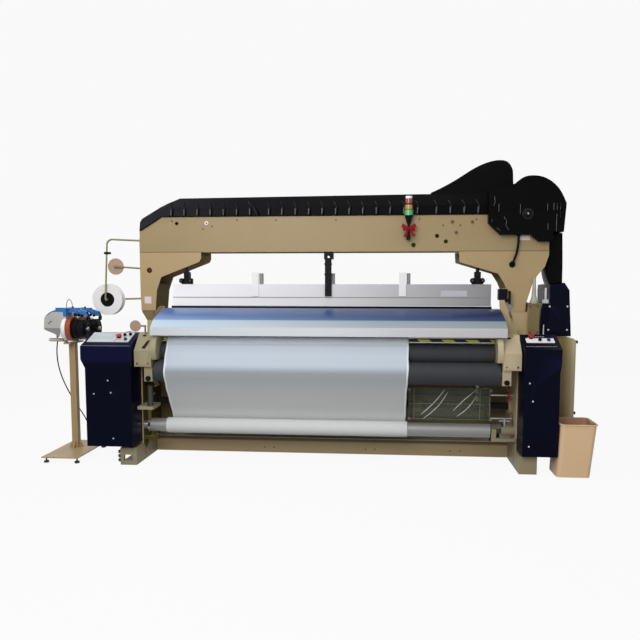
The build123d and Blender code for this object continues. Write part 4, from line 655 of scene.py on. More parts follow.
def dress_machine():
    """Rollers, heald frames, warp, drives, lamp, feeders and stands."""
    dress("press_roller", GRIP, (STEEL, lambda c, n: abs(c.x) > 1231))
    dress("take_up_roller", GRIP, (STEEL, lambda c, n: abs(c.x) > 1261))
    dress("cloth_roller", TUBE, (DARK_STEEL, lambda c, n: c.x < -1345.5 or c.x > 1220.5))
    for index in (1, 2, 3):
        dress(
            f"heald_frame_{index}", RAIL,
            (BLACK_PAINT, lambda c, n: c.z > RAIL_TOP and min(abs(c.x - x) for x in HOOKS_X) < 44),
            (WHITE if index == 1 else GREY, lambda c, n: c.z > RAIL_TOP),
            (WHITE, lambda c, n: c.y < 516 and c.z > 1256),
            (GREY, lambda c, n: c.y < 517.9),
        )
    dress("sley", ALUMINIUM, (DARK_AND_SHADE, lambda c, n: c.z < 560))
    flange_x, yarn_radius = 1280.5, 335
    dress(
        "warp_beam", YARN,
        (DARK_STEEL, lambda c, n: abs(c.x) > flange_x or dist((c.y, c.z), WARP_AXIS) > yarn_radius),
    )
    dress("water_pump", ALUMINIUM, (OLIVE, lambda c, n: c.z < 762 and c.x < -1528))
    dress(
        "signal_lamp", BLACK,
        *(
            (glass, lambda c, n, low=low, high=high, reach=reach: low <= c.z <= high
             and hypot(c.x - LAMP_X, c.y - LAMP_Y) > reach)
            for glass, low, high, reach in (
                (LAMP_LIME, 1874, 1880, 28), (LAMP_GREEN, 1880, 1914.5, 28),
                (LAMP_AMBER, 1919, 1952.5, 24), (LAMP_RED, 1962, 1999.49, 24),
            )
        ),
        (WHITE, lambda c, n: c.z >= 1999.5),
    )
    dress(
        "selvedge_rods", BRASS,
        (DISC, lambda c, n: c.y > 540 and near(c, (-1735, 1492), 70)),
        (BEIGE, lambda c, n: c.x > -1522),
        (BLACK, lambda c, n: 1589 < c.z < 1609 and c.x < -1760),
    )
    dress(
        "selvedge_spool", WHITE,
        (BLACK, lambda c, n: near(c, (-1812, 1225), 56) and c.y < 543),
        (YARN, lambda c, n: 543.5 < c.y < 597.5),
    )
    dress(
        "splash_guard", CLEAR,
        (RED, lambda c, n: 1355 < c.x < 1380 and abs(c.z - 522) < 36),
        (STEEL, lambda c, n: c.x > 1239),
        (DARK_STEEL, lambda c, n: c.y > 294.3),
    )
    dress("reed_hood", HOOD, (STEEL, lambda c, n: c.x < -1285.2 or c.x > 1303.2))
    for label, shift, drop, _ in FEEDERS:
        edge = -2012 + shift
        dress(
            f"feeder_{label}", feeder_shell(f"feeder_body_{label}", shift, drop),
            (WHITE, lambda c, n: edge - 46 < c.x < edge - 1 and c.z < 1098),
            (BLACK, lambda c, n: c.x > edge + 144 or c.x > edge + 30 and c.z < 1101),
        )
        dress(f"feeder_ring_{label}", RING_ORANGE)
    dress(
        "weft_stand", BEIGE,
        (STEEL, lambda c, n: c.x < -2106 and c.z > 890),
        (DARK_STEEL, lambda c, n: c.z < 41.5),
    )


def dress_plain():
    """Nodes of one material."""
    for material, *nodes in (
        # The cross girder takes the olive paint as painted shade.
        (BEIGE, "rear_cross_beam", "breast_beam"), (SHADED_BEAM, "front_cross_beam"), (OLIVE, "cross_girder"),
        (COVER, "beam_cover"), (COVER_GLOSS, "drive_fairing"), (BOTTLE, "oil_bottle"),
        (RED, "emergency_stop_left", "emergency_stop_right"), (GREEN, "panel_button_left_3"),
        (BLACK, "panel_button_left_1", "panel_button_left_2", "panel_button_right_1"),
        (BLUE_CAP, "panel_button_right_2"), (ROLL_CLOTH, "cloth_roll"), (STEEL_Z, "reed"),
        # The main shaft is darkened as painted shade.
        (YARN, "warp_sheet"), (STEEL, "back_rest_roller"), (DARK_AND_SHADE, "main_shaft"), (MOTOR, "drive_motor"),
    ):
        for node in nodes:
            dress(node, material)


# Piece makers


class Build:
    """A mesh under construction."""

    def __init__(self):
        self.bm = bmesh.new()

    def row(self, points):
        return [self.bm.verts.new(at(*point)) for point in points]

    def face(self, verts, slot=0):
        made = self.bm.faces.new(verts)
        made.material_index = slot
        return made

    def skin(self, rows, slot=0, around=False):
        """Faces between rows of points, also between each row's last and first point if around."""
        count = len(rows[0])
        return [
            self.face((low[k], low[(k + 1) % count], high[(k + 1) % count], high[k]), slot)
            for low, high in zip(rows, rows[1:]) for k in range(count if around else count - 1)
        ]

    def shell(self, rows, slot=0):
        """Closed body: rings of points with a face at each end."""
        self.skin(rows, slot, around=True)
        self.face(rows[0][::-1], slot)
        self.face(rows[-1], slot)

    def prism(self, outline, start, end, slot=0, side_view=False):
        """Closed prism: an outline in front view (x, z) or side view (y, z), from start to end across it."""
        self.shell([
            self.row((depth, a, b) if side_view else (a, depth, b) for a, b in outline)
            for depth in (start, end)
        ], slot)

    def box(self, x0, x1, y0, y1, z0, z1, slot=0):
        self.prism(((x0, z0), (x1, z0), (x1, z1), (x0, z1)), y0, y1, slot)

    def lathe(self, centre, axis, profile, sides=32, slot=0, phase=0.0):
        """Body turned about an axis through centre: profile of (distance along the axis, radius)."""
        turn = Vector(UP).rotation_difference(Vector(axis).normalized()).to_matrix()
        angles = [2 * pi * k / sides + phase for k in range(sides)]
        self.shell([
            self.row(
                Vector(centre) + turn @ Vector((radius * cos(angle), radius * sin(angle), along))
                for angle in angles
            )
            for along, radius in profile
        ], slot)

    def tube(self, points, radius, sides=10, slot=0, closed=False):
        """Round bar along points."""
        count = len(points)
        rings, side = [], None
        for i, here in enumerate(points):
            before = points[i - 1] if i or closed else here
            after = points[(i + 1) % count] if i < count - 1 or closed else here
            along = (Vector(after) - Vector(before)).normalized()
            if side is None:
                side = along.orthogonal()
            side = (side - along * side.dot(along)).normalized()
            across = along.cross(side)
            rings.append(self.row(
                Vector(here) + side * radius * cos(angle) + across * radius * sin(angle)
                for angle in (2 * pi * k / sides for k in range(sides))
            ))
        if closed:
            self.skin([*rings, rings[0]], slot, around=True)
        else:
            self.shell(rings, slot)

    def bolt(self, centre, axis, radius):
        """Hexagon head on its washer, with a chamfered top."""
        self.lathe(centre, axis, ((0, radius * 1.35), (1.5, radius * 1.35), (1.8, radius * 1.2)), 16)
        head = ((1.6, radius * 1.12), (radius * 0.75, radius * 1.12), (radius * 0.9, radius * 0.92))
        self.lathe(centre, axis, head, 6, phase=random.uniform(0, 1))

    def screw(self, centre, radius, slot=0):
        """Round head with a sunk middle, seen from the front."""
        shares = ((0, 1), (0.35, 0.95), (0.6, 0.6), (0.4, 0.3))
        self.lathe(centre, FRONT, [(radius * high, radius * wide) for high, wide in shares], 16, slot)

    def plate(self, tilt, x0, x1, start, end, height, slot):
        """Thin plate on a sloping top, from start to end along it, with its face that high above it."""
        corners = ((x0, start), (x1, start), (x1, end), (x0, end))
        self.shell([
            self.row((x, *slope_point(tilt, along, up)) for x, along in corners)
            for up in (height - 0.35, height)
        ], slot)

    def done(self, name, *materials, body=FRAME_BODY, smooth=40.0, soft=0.0):
        """Turn the mesh into a piece that rides on a body; soft rounds its sharp edges by that many mm."""
        mesh = bpy.data.meshes.new(name)
        bmesh.ops.recalc_face_normals(self.bm, faces=self.bm.faces)
        self.bm.to_mesh(mesh)
        self.bm.free()
        made = new_object(name, mesh)
        for material in materials:
            mesh.materials.append(material)
        if smooth:
            for face in mesh.polygons:
                face.use_smooth = True
            mesh.set_sharp_from_angle(angle=radians(smooth))
        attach(made, body)
        if soft:
            bevel = made.modifiers.new("round_edges", "BEVEL")
            bevel.width = soft * MM
            bevel.segments = 2
            bevel.limit_method = "ANGLE"
            bevel.angle_limit = radians(35)
        return made


def thicken(made, thickness, offset=-1):
    solid = made.modifiers.new("thickness", "SOLIDIFY")
    solid.thickness = thickness * MM
    solid.offset = offset


# Camera and cords


def make_camera():
    """Camera at the photograph's place, 5 m in front of the feet."""
    data = bpy.data.cameras.new("photo_camera")
    data.sensor_width = 36.0
    data.lens = 39.375
    data.shift_y = 0.0477
    camera = new_object("photo_camera", data)
    camera.location = at(432.2, -5000, 1368.3)
    tilt_down, turn_left = 5.6, 5.2     # degrees
    camera.rotation_euler = (radians(90 - tilt_down), 0, radians(turn_left))
    bpy.context.scene.camera = camera


FEEDER_CABLE_ROUTE = (
    (-2124, 285, 934), (-2124, 285, 905), (-2132, 287, 862), (-2136, 290, 806), (-2136, 298, 742),
    (-2131, 314, 674), (-2122, 338, 606), (-2107, 364, 538), (-2086, 387, 472), (-2058, 401, 410),
    (-2023, 405, 353), (-1984, 394, 305), (-1943, 362, 264), (-1906, 314, 233), (-1876, 258, 211),
    (-1856, 204, 198), (-1844.5, 163.5, 191), (-1834.5, 137.3, 187.6), (-1823.5, 120, 186),
    (-1809.6, 107.5, 185.3), (-1793, 100, 185), (-1775, 100, 185),
)
DOBBY_CABLE_ROUTE = (
    (1445, 470, 1714), (1445, 470, 1686), (1441, 470, 1640), (1433, 469, 1594), (1422, 467.5, 1556),
    (1412, 466, 1531), (1408.5, 467.7, 1516.8), (1407, 474.8, 1506.7), (1407, 485.7, 1501), (1407, 498, 1501),
)


def make_cord(name, route, diameter, node):
    """Cable on one smooth line through its route, in place of its CAD tube."""
    curve = bpy.data.curves.new(name, "CURVE")
    curve.dimensions = "3D"
    curve.bevel_depth = diameter * MM / 2
    curve.bevel_resolution = 5
    curve.resolution_u = 8
    curve.use_fill_caps = True
    spline = curve.splines.new("NURBS")
    spline.points.add(len(route) - 1)
    for point, place in zip(spline.points, route):
        point.co = (*at(*place), 1.0)
    spline.order_u = 3
    spline.use_endpoint_u = True
    made = new_object(name, curve)
    curve.materials.append(CABLE)
    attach(made, FRAME_BODY)
    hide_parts(node)


# Soft goods


def cloth_profile():
    """Side-view line of the cloth, from the reed down to the roll, as (y, z)."""
    lip, lip_radius, take_up_radius, roll_radius = (144.0, 951.5), 6.9, 82.9, 59.9
    off_lip, off_take_up, on_roll = 149, 213, 33.2      # angles where the cloth leaves and lands

    def straight(start, end, count):
        """Points that divide the way from start to end, without start."""
        return [
            tuple(a + (b - a) * i / count for a, b in zip(start, end)) for i in range(1, count + 1)
        ]

    line = [(350 - 206 * i / 10, 958.4) for i in range(11)]
    line += arc_points(lip, lip_radius, 100, off_lip, 4)
    line += straight(line[-1], polar(TAKE_UP_AXIS, take_up_radius, off_lip), 16)[:-1]
    line += arc_points(TAKE_UP_AXIS, take_up_radius, off_lip, off_take_up, 14)
    return line + straight(line[-1], polar(ROLL_AXIS, roll_radius, on_roll), 24)


def make_cloth():
    """Cloth sheet with slack between the rollers and a slightly wandering selvedge."""
    left, right, columns = -1187.0, 601.0, 150
    line = cloth_profile()
    runs = [dist(a, b) for a, b in zip(line, line[1:])]
    cloth = Build()
    rows = []

    def between(value, start, length):
        """0 before start, 1 after that length."""
        return min(max((value - start) / length, 0), 1)

    for number, (y, z) in enumerate(line):
        run = sum(runs[:number])
        free_high = max(0.0, sin(pi * between(run, 225, 260)))
        free_low = max(0.0, sin(pi * between(run, 560, 400)))
        points = []
        for share in (column / columns for column in range(columns + 1)):
            x = left + (right - left) * share
            edge = 1.6 * sin(run / 60) + 1.2 * sin(run / 23 + 1)
            x += edge * (share**6 if share > 0.5 else (1 - share) ** 6)
            x += 16 * share * between(z, 430, 480)
            wave = sin(x / 71 + 0.6 * sin(run / 190)) + 0.6 * sin(x / 37 + 2 + run / 260)
            slack = (free_high * 0.7 + free_low * 1.2) * (1.6 + wave)
            curl = 2.0 * free_high * (share**30 + (1 - share) ** 30)
            points.append((x, y - slack - curl, z))
        rows.append(cloth.row(points))
    for index, face in enumerate(cloth.skin(rows)):
        if index % columns in (0, columns - 1):
            face.material_index = 1
    made = cloth.done("cloth_sheet", CLOTH, SELVEDGE, smooth=180)
    thicken(made, 1.0, 0)
    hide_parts("fabric_sheet")


def make_bow():
    """Ribbon bow tied to the lamp's pole: two loops, two tails and a knot, of one flat ribbon."""
    centre = Vector((LAMP_X, 437.0, 1772.0))
    ribbon = Build()

    def petal(angle, length, wide, loop):
        """Loop or tail of ribbon that leaves the knot at that angle in front view."""
        out = Vector((cos(radians(angle)), 0, sin(radians(angle))))
        across = Vector((-out.z, 0, out.x))
        rows = []
        for t in (i / 16 for i in range(17)):
            swell = sin(pi * t)
            if loop:
                reach, depth = length * swell**0.8, 9 * cos(pi * t)
            else:
                reach, depth = length * t, 4 * sin(5 * t) - 3
            half = wide * (0.3 + 0.2 * (swell if loop else t))
            place = centre + Vector((0, depth, 0)) + out * (reach + 4)
            rows.append(ribbon.row(
                place + across * half * s + Vector((0, 3 * swell * (1 - abs(s)), 0))
                for s in (-1, -0.5, 0, 0.5, 1)
            ))
        return ribbon.skin(rows)

    faces = []
    for angle, length, wide, loop in (
        (152, 54, 32, True), (28, 56, 32, True), (186, 40, 24, True), (-8, 44, 24, True),
        (243, 66, 22, False), (-52, 68, 22, False),
    ):
        faces += petal(angle, length, wide, loop)
    faces += ribbon.skin([
        ribbon.row(
            centre + Vector((10 * cos(turn), 9 * sin(turn) - 3, high)) for high in (-9, 0, 9)
        )
        for turn in (2 * pi * i / 12 for i in range(13))
    ])
    area = sum(face.calc_area() for face in faces)
    made = ribbon.done("pole_bow", RIBBON, smooth=180)
    thicken(made, 0.5)
    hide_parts("lamp_bow")


# Fittings on the covers and castings


def make_cover_trim():
    """Pressed ribs that curl over the beam cover's shoulder, painted highlight streaks on their edges, and
    the lip under them.
    """
    ribs, edges, lips = Build(), Build(), Build()
    face_y, shoulder_z, slant, pitch = 495, 1948, 0.62, 105.0

    def rib(path, half):
        profile = ((-half, 3), (-half * 0.45, -4), (0, -5.5), (half * 0.6, -4), (half, 3))
        rows = [
            ribs.row((x + s, face_y + max(z - shoulder_z, 0) * slant + depth, z) for s, depth in profile)
            for x, z in path
        ]
        # The leftmost face of each rib is a painted highlight.
        for face in ribs.skin(rows)[::4]:
            face.material_index = 1

    for first, count in ((-1259.0, 7), (-479, 12), (819, 4)):
        for x in (first + pitch * k for k in range(count)):
            # Grey streak beside each rib: a painted highlight.
            edges.prism(((x + 4, 1892), (x + 7, 1892), (x + 7, 1936), (x + 4, 1938)), 493.5, 497)
            curl = ((15, 1886), (17, 1915), (18, 1938), (17, 1955), (9, 1974), (-4, 1994))
            rib([(x + shift, z) for shift, z in curl], 9)
    rib(((-552, 1884), (-560, 1905), (-575, 1937), (-594, 1962), (-612, 1984), (-632, 2002)), 12)
    thicken(ribs.done("cover_ribs", COVER_GLOSS, RIB_HIGHLIGHT, smooth=60), 2)
    edges.done("cover_highlight_streaks", COVER_HIGHLIGHT)
    lip_y = 496.2
    lips.prism(((lip_y, 1879), (492, 1879), (492, 1885), (lip_y, 1887)), -1318, 1212, side_view=True)
    lips.prism([(-1503, 1771), (-1326, 1880), (-1330, 1886), (-1505, 1779)], 492, lip_y)
    lips.done("cover_lips", COVER_GLOSS, soft=1)


def make_hood_seal():
    """Dark strip with a bright bead between the hood and the healds."""
    seal = Build()
    seal.box(-1256, 1256, 470, 475, 1160, 1178, 0)
    seal.box(-1256, 1256, 469, 476, 1178, 1184, 1)
    seal.done("hood_seal", BLACK, SILVER, soft=1)


def make_seams():
    """Dark joint line between the legs and the beam: a real joint, darkened as painted shade of its gap."""
    seams = Build()
    for x0, x1 in ((-1513, -1017), (1004, 1676)):
        seams.box(x0, x1, 499.2, 501, 1601.8, 1606.2)
    seams.done("joint_lines", JOINT_DARK, smooth=0)


def make_dobby_fittings():
    """Ribs, clips, flange bolts and the bearing cap of the dobby cover."""
    ribs, cap = Build(), Build()
    for line in (
        ((1291, 1894), (1291, 1952)), ((1449, 1875), (1449, 1950)), ((1648, 1898), (1648, 1948)),
        ((1694, 1900), (1694, 1956)), ((1718, 1900), (1718, 1956)), ((1742, 1846), (1742, 1956)),
        ((1242, 1816), (1242, 1862)), ((1276, 1778), (1305, 1754)), ((1717, 1744), (1717, 1876)),
        ((1656, 1756), (1656, 1804)), ((1330, 1858), (1352, 1822), (1346, 1790), (1367, 1760)),
        ((1252, 1930), (1262, 1972), (1256, 2010)),
    ):
        for start, end in zip(map(Vector, line), map(Vector, line[1:])):
            along = (end - start).normalized() * 5
            across = Vector((along.y, -along.x))
            # The rib, and a painted highlight line on its edge
            for slot, wide, shift, depth in ((0, 1.0, 0.0, 6), (1, 0.35, -0.9, 6.6)):
                middle = across * shift * (1 if along.y > 0 else -1)
                corners = [
                    place + middle + across * wide * side
                    for place, side in ((start, 1), (start, -1), (end, -1), (end, 1))
                ]
                ribs.prism(corners, DOBBY_Y - depth, DOBBY_Y, slot)
    ribs.prism(((1216, 1908), (1780, 1908), (1781, 1922), (1216, 1922)), DOBBY_Y - 4, DOBBY_Y)
    ribs.done("dobby_ribs", COVER_GLOSS, RIB_HIGHLIGHT, soft=1.2)
    x, z = DOBBY_BOSS
    cap.lathe((x, 421, z), FRONT, ((0, 30), (3, 30), (8, 24), (9, 9), (5, 7)), 40)
    for angle in range(30, 390, 60):
        screw_x, screw_z = polar(DOBBY_BOSS, 36, angle)
        cap.screw((screw_x, 428.2, screw_z), 3.5)
    cap.screw((x, 412.5, z), 6, 1)
    for x, z in (
        (1225, 1850), (1225, 1960), (1768, 1850), (1768, 1940), (1330, 1735), (1520, 1735), (1690, 1700),
        (1480, 1945), (1640, 1945),
    ):
        cap.screw((x, DOBBY_Y, z), 5)
    cap.done("dobby_cap", BLACK, STEEL)


def ring_face(place):
    """y of the front of the ringed bolt at that place of the beam."""
    points = [drawn(vertex.co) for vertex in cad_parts["arch_beam"].data.vertices]
    return min(point.y for point in points if near(point, place, 18))


def make_fasteners():
    """Bolts of the castings, screws and plugs of the front beam."""
    bolts, plugs, lip, pad, plug = (Build() for _ in range(5))
    frame_x, beam_y = 1528, 480
    for side in (-1, 1):
        for y, z in ((30, 775), (30, 835), (95, 775)):
            bolts.bolt((side * 1402, y, z), (side, 0, 0), 8)
        for y, z in ((190, 160), (190, 500), (190, 700), (700, 110), (1100, 110), (1500, 100)):
            bolts.bolt((side * frame_x, y, z), (side, 0, 0), 9)
        for x in (1299, 1378):
            bolts.bolt((side * x, -5, 768), FRONT, 6)
    for x, y in ((1545, 470), (1595, 470), (1545, 600), (1595, 600)):
        bolts.bolt((x, y, 1207), UP, 5)
    for x, z in ((1542, 985), (1598, 985), (1542, 1180), (1598, 1180)):
        bolts.bolt((x, 455, z), FRONT, 5)
    for x in (-514, -438, 297, 372, 962, 1037):
        bolts.screw((x, beam_y, 42), 5.5)
    for x, z in (WHITE_RING, *RINGS):
        bolts.screw((x, ring_face((x, z)), z), 7)
    bolts.done("frame_bolts", DARK_STEEL)
    for centre in (-1100, -230, 560, 1150):
        for x in (centre - 40, centre + 40):
            plugs.lathe((x, 489, 78), FRONT, ((0, 5.9), (8.5, 5.9)), 24)
    plugs.done("beam_plugs", SHADED_BEAM)
    lip.box(-1396, 1396, beam_y, 484, 1.5, 13)
    lip.done("beam_lip", SHADED_BEAM)
    pad.box(1262, 1340, 476, 500, 130, 200)
    pad.done("beam_pad", DARK_AND_SHADE, soft=2)
    plug.lathe((-1441, 503, 1461), FRONT, ((0, 21.8), (1, 21.8), (1.6, 21)), 32)
    plug.done("leg_plug", PLUG)


def make_bracket_marks():
    """Painted shade of the recesses in the sloping fronts of the roller brackets, as flat dark patches."""
    marks = Build()
    slope = 130 / 123       # y over z of the sloping fronts, whose normal is (-0.69, 0.73)
    outlines = [((-1301, 937), (-1324, 930), (-1350, 882), (-1338, 876), (-1320, 878))]
    turns = [pi * i / 10 for i in range(20)]
    for x in (-1355, 1330):
        outlines.append([(x + 15 * cos(turn), 966 + 6 * sin(turn)) for turn in turns])
    for outline in outlines:
        marks.shell([
            marks.row((x, -5 + (z - 865) * slope - 0.69 * lift, z + 0.73 * lift) for x, z in outline)
            for lift in (0.5, -1.0)
        ])
    marks.done("bracket_recess_shade", DARK_AND_SHADE, smooth=0)


def make_hazard_strip():
    """Striped strip on the breast beam, with the pale line under it and a dark line of painted shadow below
    that.
    """
    edge, back = Build(), 137.9
    for name, x0, x1 in (("left", -1234, -1190), ("right", 604, 1234)):
        strip = Build()
        strip.box(x0, x1, 137.2, back, 931, 954)
        strip.done(f"hazard_strip_{name}", HAZARD)
        edge.box(x0, x1, 136.6, back, 925, 931.5, 1)
        # Dark line of painted shadow under the pale line.
        edge.box(x0, x1, 136.6, back, 921, 925, 0)
    edge.done("breast_edge", BLACK_PAINT, SILVER)


def make_guard_details():
    """White curved streaks of painted reflection on the clear guard, its frame and corner blocks."""
    reflections, bars, blocks = Build(), Build(), Build()
    # Each line is a white streak of painted reflection.
    for line in (
        ((898, 563), (853, 501), (808, 448), (757, 400), (717, 364)),
        ((919, 543), (893, 496), (854, 437), (792, 377), (729, 329)),
        ((1142, 570), (1086, 522), (1030, 475), (999, 439), (958, 398)),
        ((1132, 517), (1099, 453), (1043, 393), (981, 351)),
    ):
        rows = []
        last = len(line) - 1
        for i, (x, z) in enumerate(line):
            along = (Vector(line[min(i + 1, last)]) - Vector(line[max(i - 1, 0)])).normalized()
            half = 2.6 if 0 < i < last else 1.2
            rows.append(reflections.row(
                (x - along.y * half * side, depth, z + along.x * half * side)
                for depth, side in ((289.6, -1), (288.8, 0), (289.6, 1))
            ))
        reflections.skin(rows)
    reflection_strips = reflections.done("guard_reflection_streaks", WHITE, smooth=180)
    reflection_strips.modifiers.new("round", "SUBSURF").levels = 2
    thicken(reflection_strips, 0.6)
    for x in (627, 664, 1156, 1229):
        bars.box(x, x + 5, 287.5, 289.8, 331, 574)
    for z in (331, 449, 569):
        bars.box(627, 1234, 287.8, 289.7, z, z + 4)
    bars.done("guard_frame", EDGE_OLIVE, soft=0.6)
    for x in (629, 1234):
        for z in (342, 563):
            blocks.box(x - 9, x + 9, 250, 262, z - 10, z + 10)
    blocks.done("guard_corners", GREY, soft=2)


def make_panel_marks():
    """Screen picture, divider and plain marks beside the buttons."""
    left, right = Build(), Build()
    for x0, x1, start, end, height, slot in (
        (-1745, -1587, 92, 204, 3.35, 0), (-1738, -1594, 176, 198, 3.6, 1),
        *((x, x + 24, 97, 108, 3.6, 1) for x in range(-1738, -1588, 30)),
        (-1558.5, -1555.5, 70, 126, 3.4, 2), (-1558.5, -1555.5, 166, 230, 3.4, 2),
        *(
            (x - 9, x + 9, s - 2, s + 2, 3.4, 2)
            for x, s in ((-1512, 162), (-1472, 170), (-1484, 88), (-1530, 112))
        ),
        (-1786, -1416, 2, 4, 0.5, 4),
    ):
        left.plate(LEFT_TILT, x0, x1, start, end, height, slot)
    left.done("left_panel_marks", SCREEN, SCREEN_TONE, INK, WHITE, SILVER, smooth=0)
    for x0, x1, start, end, height, slot in (
        *((1430 + 16.5 * k, 1440 + 16.5 * k, 42, 46, 0.5, 0) for k in range(13)),
        *((1512 + 17 * k, 1523 + 17 * k, 184, 190, 0.5, 0) for k in range(4)),
        *((x - 12, x + 12, 107, 111, 3.4, 1) for x in (1537, 1597)),
    ):
        right.plate(RIGHT_TILT, x0, x1, start, end, height, slot)
    right.done("right_panel_marks", LABEL, INK, smooth=0)


def make_box_seams():
    """Fold and screws of the control boxes; the fold is a lighter line, a painted highlight."""
    seams, screws = Build(), Build()
    seams.box(-1770, -1432, BOX_Y - 0.4, BOX_Y, 792, 796)
    seams.done("box_seams", NAVY_FOLD_HIGHLIGHT, smooth=0)
    for x, z in ((1452, 663), (1476, 536), (1457, 214)):
        screws.screw((x, BOX_Y, z), 5.5)
    screws.done("box_screws", WHITE)


def make_labels():
    """Bare labels on the legs and the front heald frame."""
    labels, plate = Build(), Build()
    for x, z, width, height in ((-1459, 1223, 56, 56), (1497, 1702, 78, 34)):
        labels.box(x - width / 2, x + width / 2, 499.2, ARCH_FRONT, z - height / 2, z + height / 2)
    labels.done("bare_labels", LABEL, soft=0.3)
    plate.box(872, 1072, 517.2, 518.4, 1255, 1300)
    plate.done("rail_plate", PLATE, body="heald_1", soft=0.3)


def make_heald_fittings():
    """Clamps and nuts on the lifting hooks of the heald frames."""
    ball = [
        (24 * cos(angle) * 0.8, 21 * sin(angle))
        for angle in (pi * (0.97 - 0.94 * i / 12) for i in range(13))
    ]
    for index in (1, 2, 3):
        y = 518 + 16 * (index - 1)
        clamps = Build()
        for x in HOOKS_X:
            for side in (-1, 1):
                if index == 1:
                    ball_x = x + side * 33 + (2 if side > 0 else -8)
                    clamps.lathe((ball_x, 508, 1378), (side, 0, 0.2), ball, 20)
                    clamps.lathe((ball_x, 488, 1377), FRONT, ((0, 8), (3, 8), (4, 5)), 16, 1)
                else:
                    clamps.lathe((x + side * 30, y - 1, 1376), UP, ((0, 15), (14, 15), (20, 11)), 6)
            clamps.lathe((x, y - 0.5, 1420), FRONT, ((0, 12), (3, 12), (5, 8)), 6)
        clamps.done(f"hook_clamps_{index}", BLACK_PAINT, DARK_STEEL, body=f"heald_{index}")


def make_feeder_details():
    """Blue top shells, white collars, drum bands, wires and knobs of the weft feeders."""
    crest = (           # x, top and half width of the top shell
        (-2178, 1108, 30), (-2162, 1121, 40), (-2138, 1136, 46), (-2102, 1153, 50), (-2060, 1161, 48),
        (-2026, 1167, 42), (-2006, 1174, 36), (-1990, 1171, 34), (-1966, 1168, 32), (-1940, 1160, 30),
        (-1915, 1148, 27), (-1893, 1133, 22),
    )
    for label, shift, drop, y in FEEDERS:
        shells, trim, wires = Build(), Build(), Build()
        axis_z = 1005 + drop
        rows = []
        for x, top, half in crest:
            height = 14 if x > -2150 else 9
            rows.append(shells.row(
                (x + shift, y + half * cos(angle), top - height + height * sin(angle) + drop)
                for angle in (pi * i / 10 for i in range(11))
            ))
        shells.shell(rows)
        made = shells.done(f"feeder_shells_{label}", FEEDER_BLUE, smooth=60)
        made.modifiers.new("round", "SUBSURF").levels = 1

        def ring(x, profile, sides, slot):
            trim.lathe((x + shift, y, axis_z), RIGHT, profile, sides, slot)

        ring(-2044, ((0, 88), (8, 94), (26, 96), (31.5, 93)), 48, 0)
        for x in (-1940, -1916, -1892):
            ring(x, ((0, 74.8), (2, 75.6), (5, 75.6), (7, 74.8)), 48, 1)
        for angle in (45, 135, 225, 315):
            nut = (-1866 + shift, *polar((y, axis_z), 34, angle))
            trim.lathe(nut, RIGHT, ((0, 8), (5, 8), (7, 5)), 12, 1)
        ring(-1866, ((0, 17), (6, 16), (10, 8), (11, 3)), 24, 2)
        for x, z, radius in ((-1950, 1116, 13), (-1922, 1113, 12), (-1896, 1108, 11)):
            knob = ((0, radius), (5, radius), (8, radius * 0.7))
            trim.lathe((x + shift, y - 25, z + drop), FRONT, knob, 16, 1)
        for x, z in ((-2150, 1050), (-2136, 1062)):
            trim.lathe((x + shift, y - 49, z + drop), FRONT, ((-6, 7), (2, 7), (4, 5)), 12, 1)
        trim.done(f"feeder_trim_{label}", WHITE, BLACK, STEEL)

        brush_x, front_x = -1930 + shift, -1861 + shift
        brush = arc_points((y, axis_z), 82, 0, 360, 33)[:-1]
        wires.tube([(brush_x, *place) for place in brush], 3, 8, 1, closed=True)
        for angle in (30, 150, 270):
            ends = (brush_x, *polar((y, axis_z), 82, angle)), (front_x, *polar((y, axis_z), 22, angle))
            wires.tube(ends, 2, 6, 1)
        if label == "front":
            hoop = [
                (-1999.5 + 24 * cos(turn), y - 14, 1168 + 64 * sin(turn) ** 0.8)
                for turn in (pi * i / 18 for i in range(19))
            ]
            wires.tube(hoop, 2.6, 8)
        wires.lathe((-1976 + shift, y - 8, 1166 + drop), UP, ((0, 8), (10, 8), (13, 5)), 16, 1)
        wires.done(f"feeder_wires_{label}", DARK_STEEL, BLACK)


# Studio


def seen_surface(tree, output, lit, seen, share):
    """Show camera, glossy and transmission rays another surface than the one that gives the light."""
    path = add_node(tree, "LightPath").outputs
    rays = path["Is Camera Ray"]
    for name in ("Is Glossy Ray", "Is Transmission Ray"):
        rays = add_node(tree, "Math", {0: rays, 1: path[name]}, operation="MAXIMUM").outputs[0]
    factor = add_node(tree, "Math", {0: rays, 1: share}, operation="MULTIPLY").outputs[0]
    mix = add_node(tree, "MixShader", {0: factor, 1: lit.outputs[0], 2: seen.outputs[0]})
    add_node(tree, output, {"Surface": mix.outputs[0]})


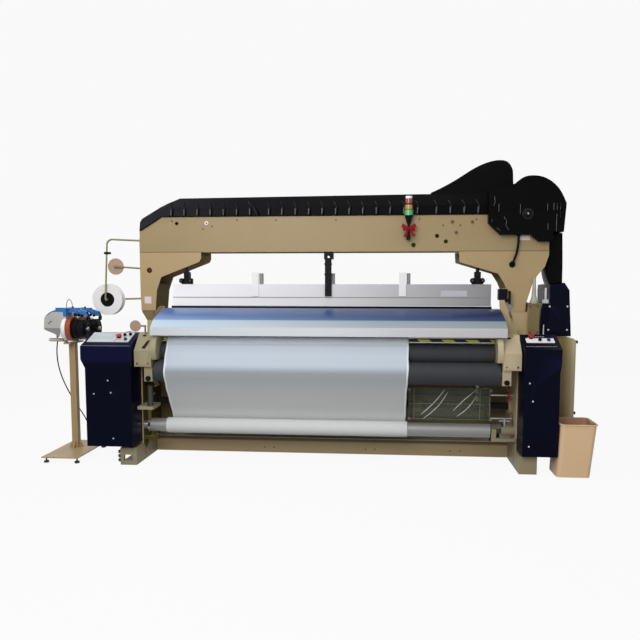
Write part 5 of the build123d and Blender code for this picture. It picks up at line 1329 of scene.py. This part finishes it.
def make_studio():
    """Pale floor and world, and soft lamps at a plain level."""
    scene = bpy.context.scene
    scene.view_settings.view_transform = "Standard"
    world = bpy.data.worlds.new("studio")
    scene.world = world
    world.use_nodes = True
    tree = world.node_tree
    tree.nodes.clear()
    seen = add_node(tree, "Background", {"Color": (0.95, 0.95, 0.95, 1), "Strength": 1.0})
    lit = add_node(tree, "Background", {"Color": (0.93, 0.96, 1.0, 1), "Strength": 0.3})
    seen_surface(tree, "OutputWorld", lit, seen, 1.0)

    bpy.ops.mesh.primitive_plane_add(size=40, location=(0, 0, 0))
    floor = bpy.context.object
    floor.name = "studio_floor"
    material = bpy.data.materials.new("studio_floor")
    material.use_nodes = True
    tree = material.node_tree
    tree.nodes.clear()
    diffuse = add_node(tree, "BsdfDiffuse", {"Color": (0.42, 0.42, 0.41, 1)})
    white = add_node(tree, "Emission", {"Strength": 1.0})
    # The rest is the shaded floor, which keeps the loom's shadow
    seen_surface(tree, "OutputMaterial", diffuse, white, 0.93)
    floor.data.materials.append(material)

    middle = at(0, 500, 1000)
    for name, place, size, power in (
        ("key", (-900, -4200, 3300), 3.0, 182),
        ("top", (-200, -900, 5000), 3.0, 62),
        ("fill", (3600, -3000, 1700), 3.0, 20),
        ("left", (-4400, -400, 2600), 3.0, 26),
        ("back", (-300, 5000, 3900), 3.5, 110),
    ):
        light = bpy.data.lights.new(name, "AREA")
        light.size = size
        light.energy = power
        lamp = new_object(name, light)
        lamp.location = at(*place)
        lamp.rotation_mode = "QUATERNION"
        lamp.rotation_quaternion = (middle - lamp.location).to_track_quat("-Z", "Y")


make_camera()
make_cord("feeder_lead", FEEDER_CABLE_ROUTE, 9, "feeder_cable")
make_cord("dobby_conduit", DOBBY_CABLE_ROUTE, 18, "dobby_cable")
make_studio()
dress_structure()
dress_panels()
dress_machine()
dress_plain()
make_cloth()
make_bow()
make_cover_trim()
make_hood_seal()
make_seams()
make_dobby_fittings()
make_fasteners()
make_bracket_marks()
make_hazard_strip()
make_guard_details()
make_panel_marks()
make_box_seams()
make_labels()
make_heald_fittings()
make_feeder_details()
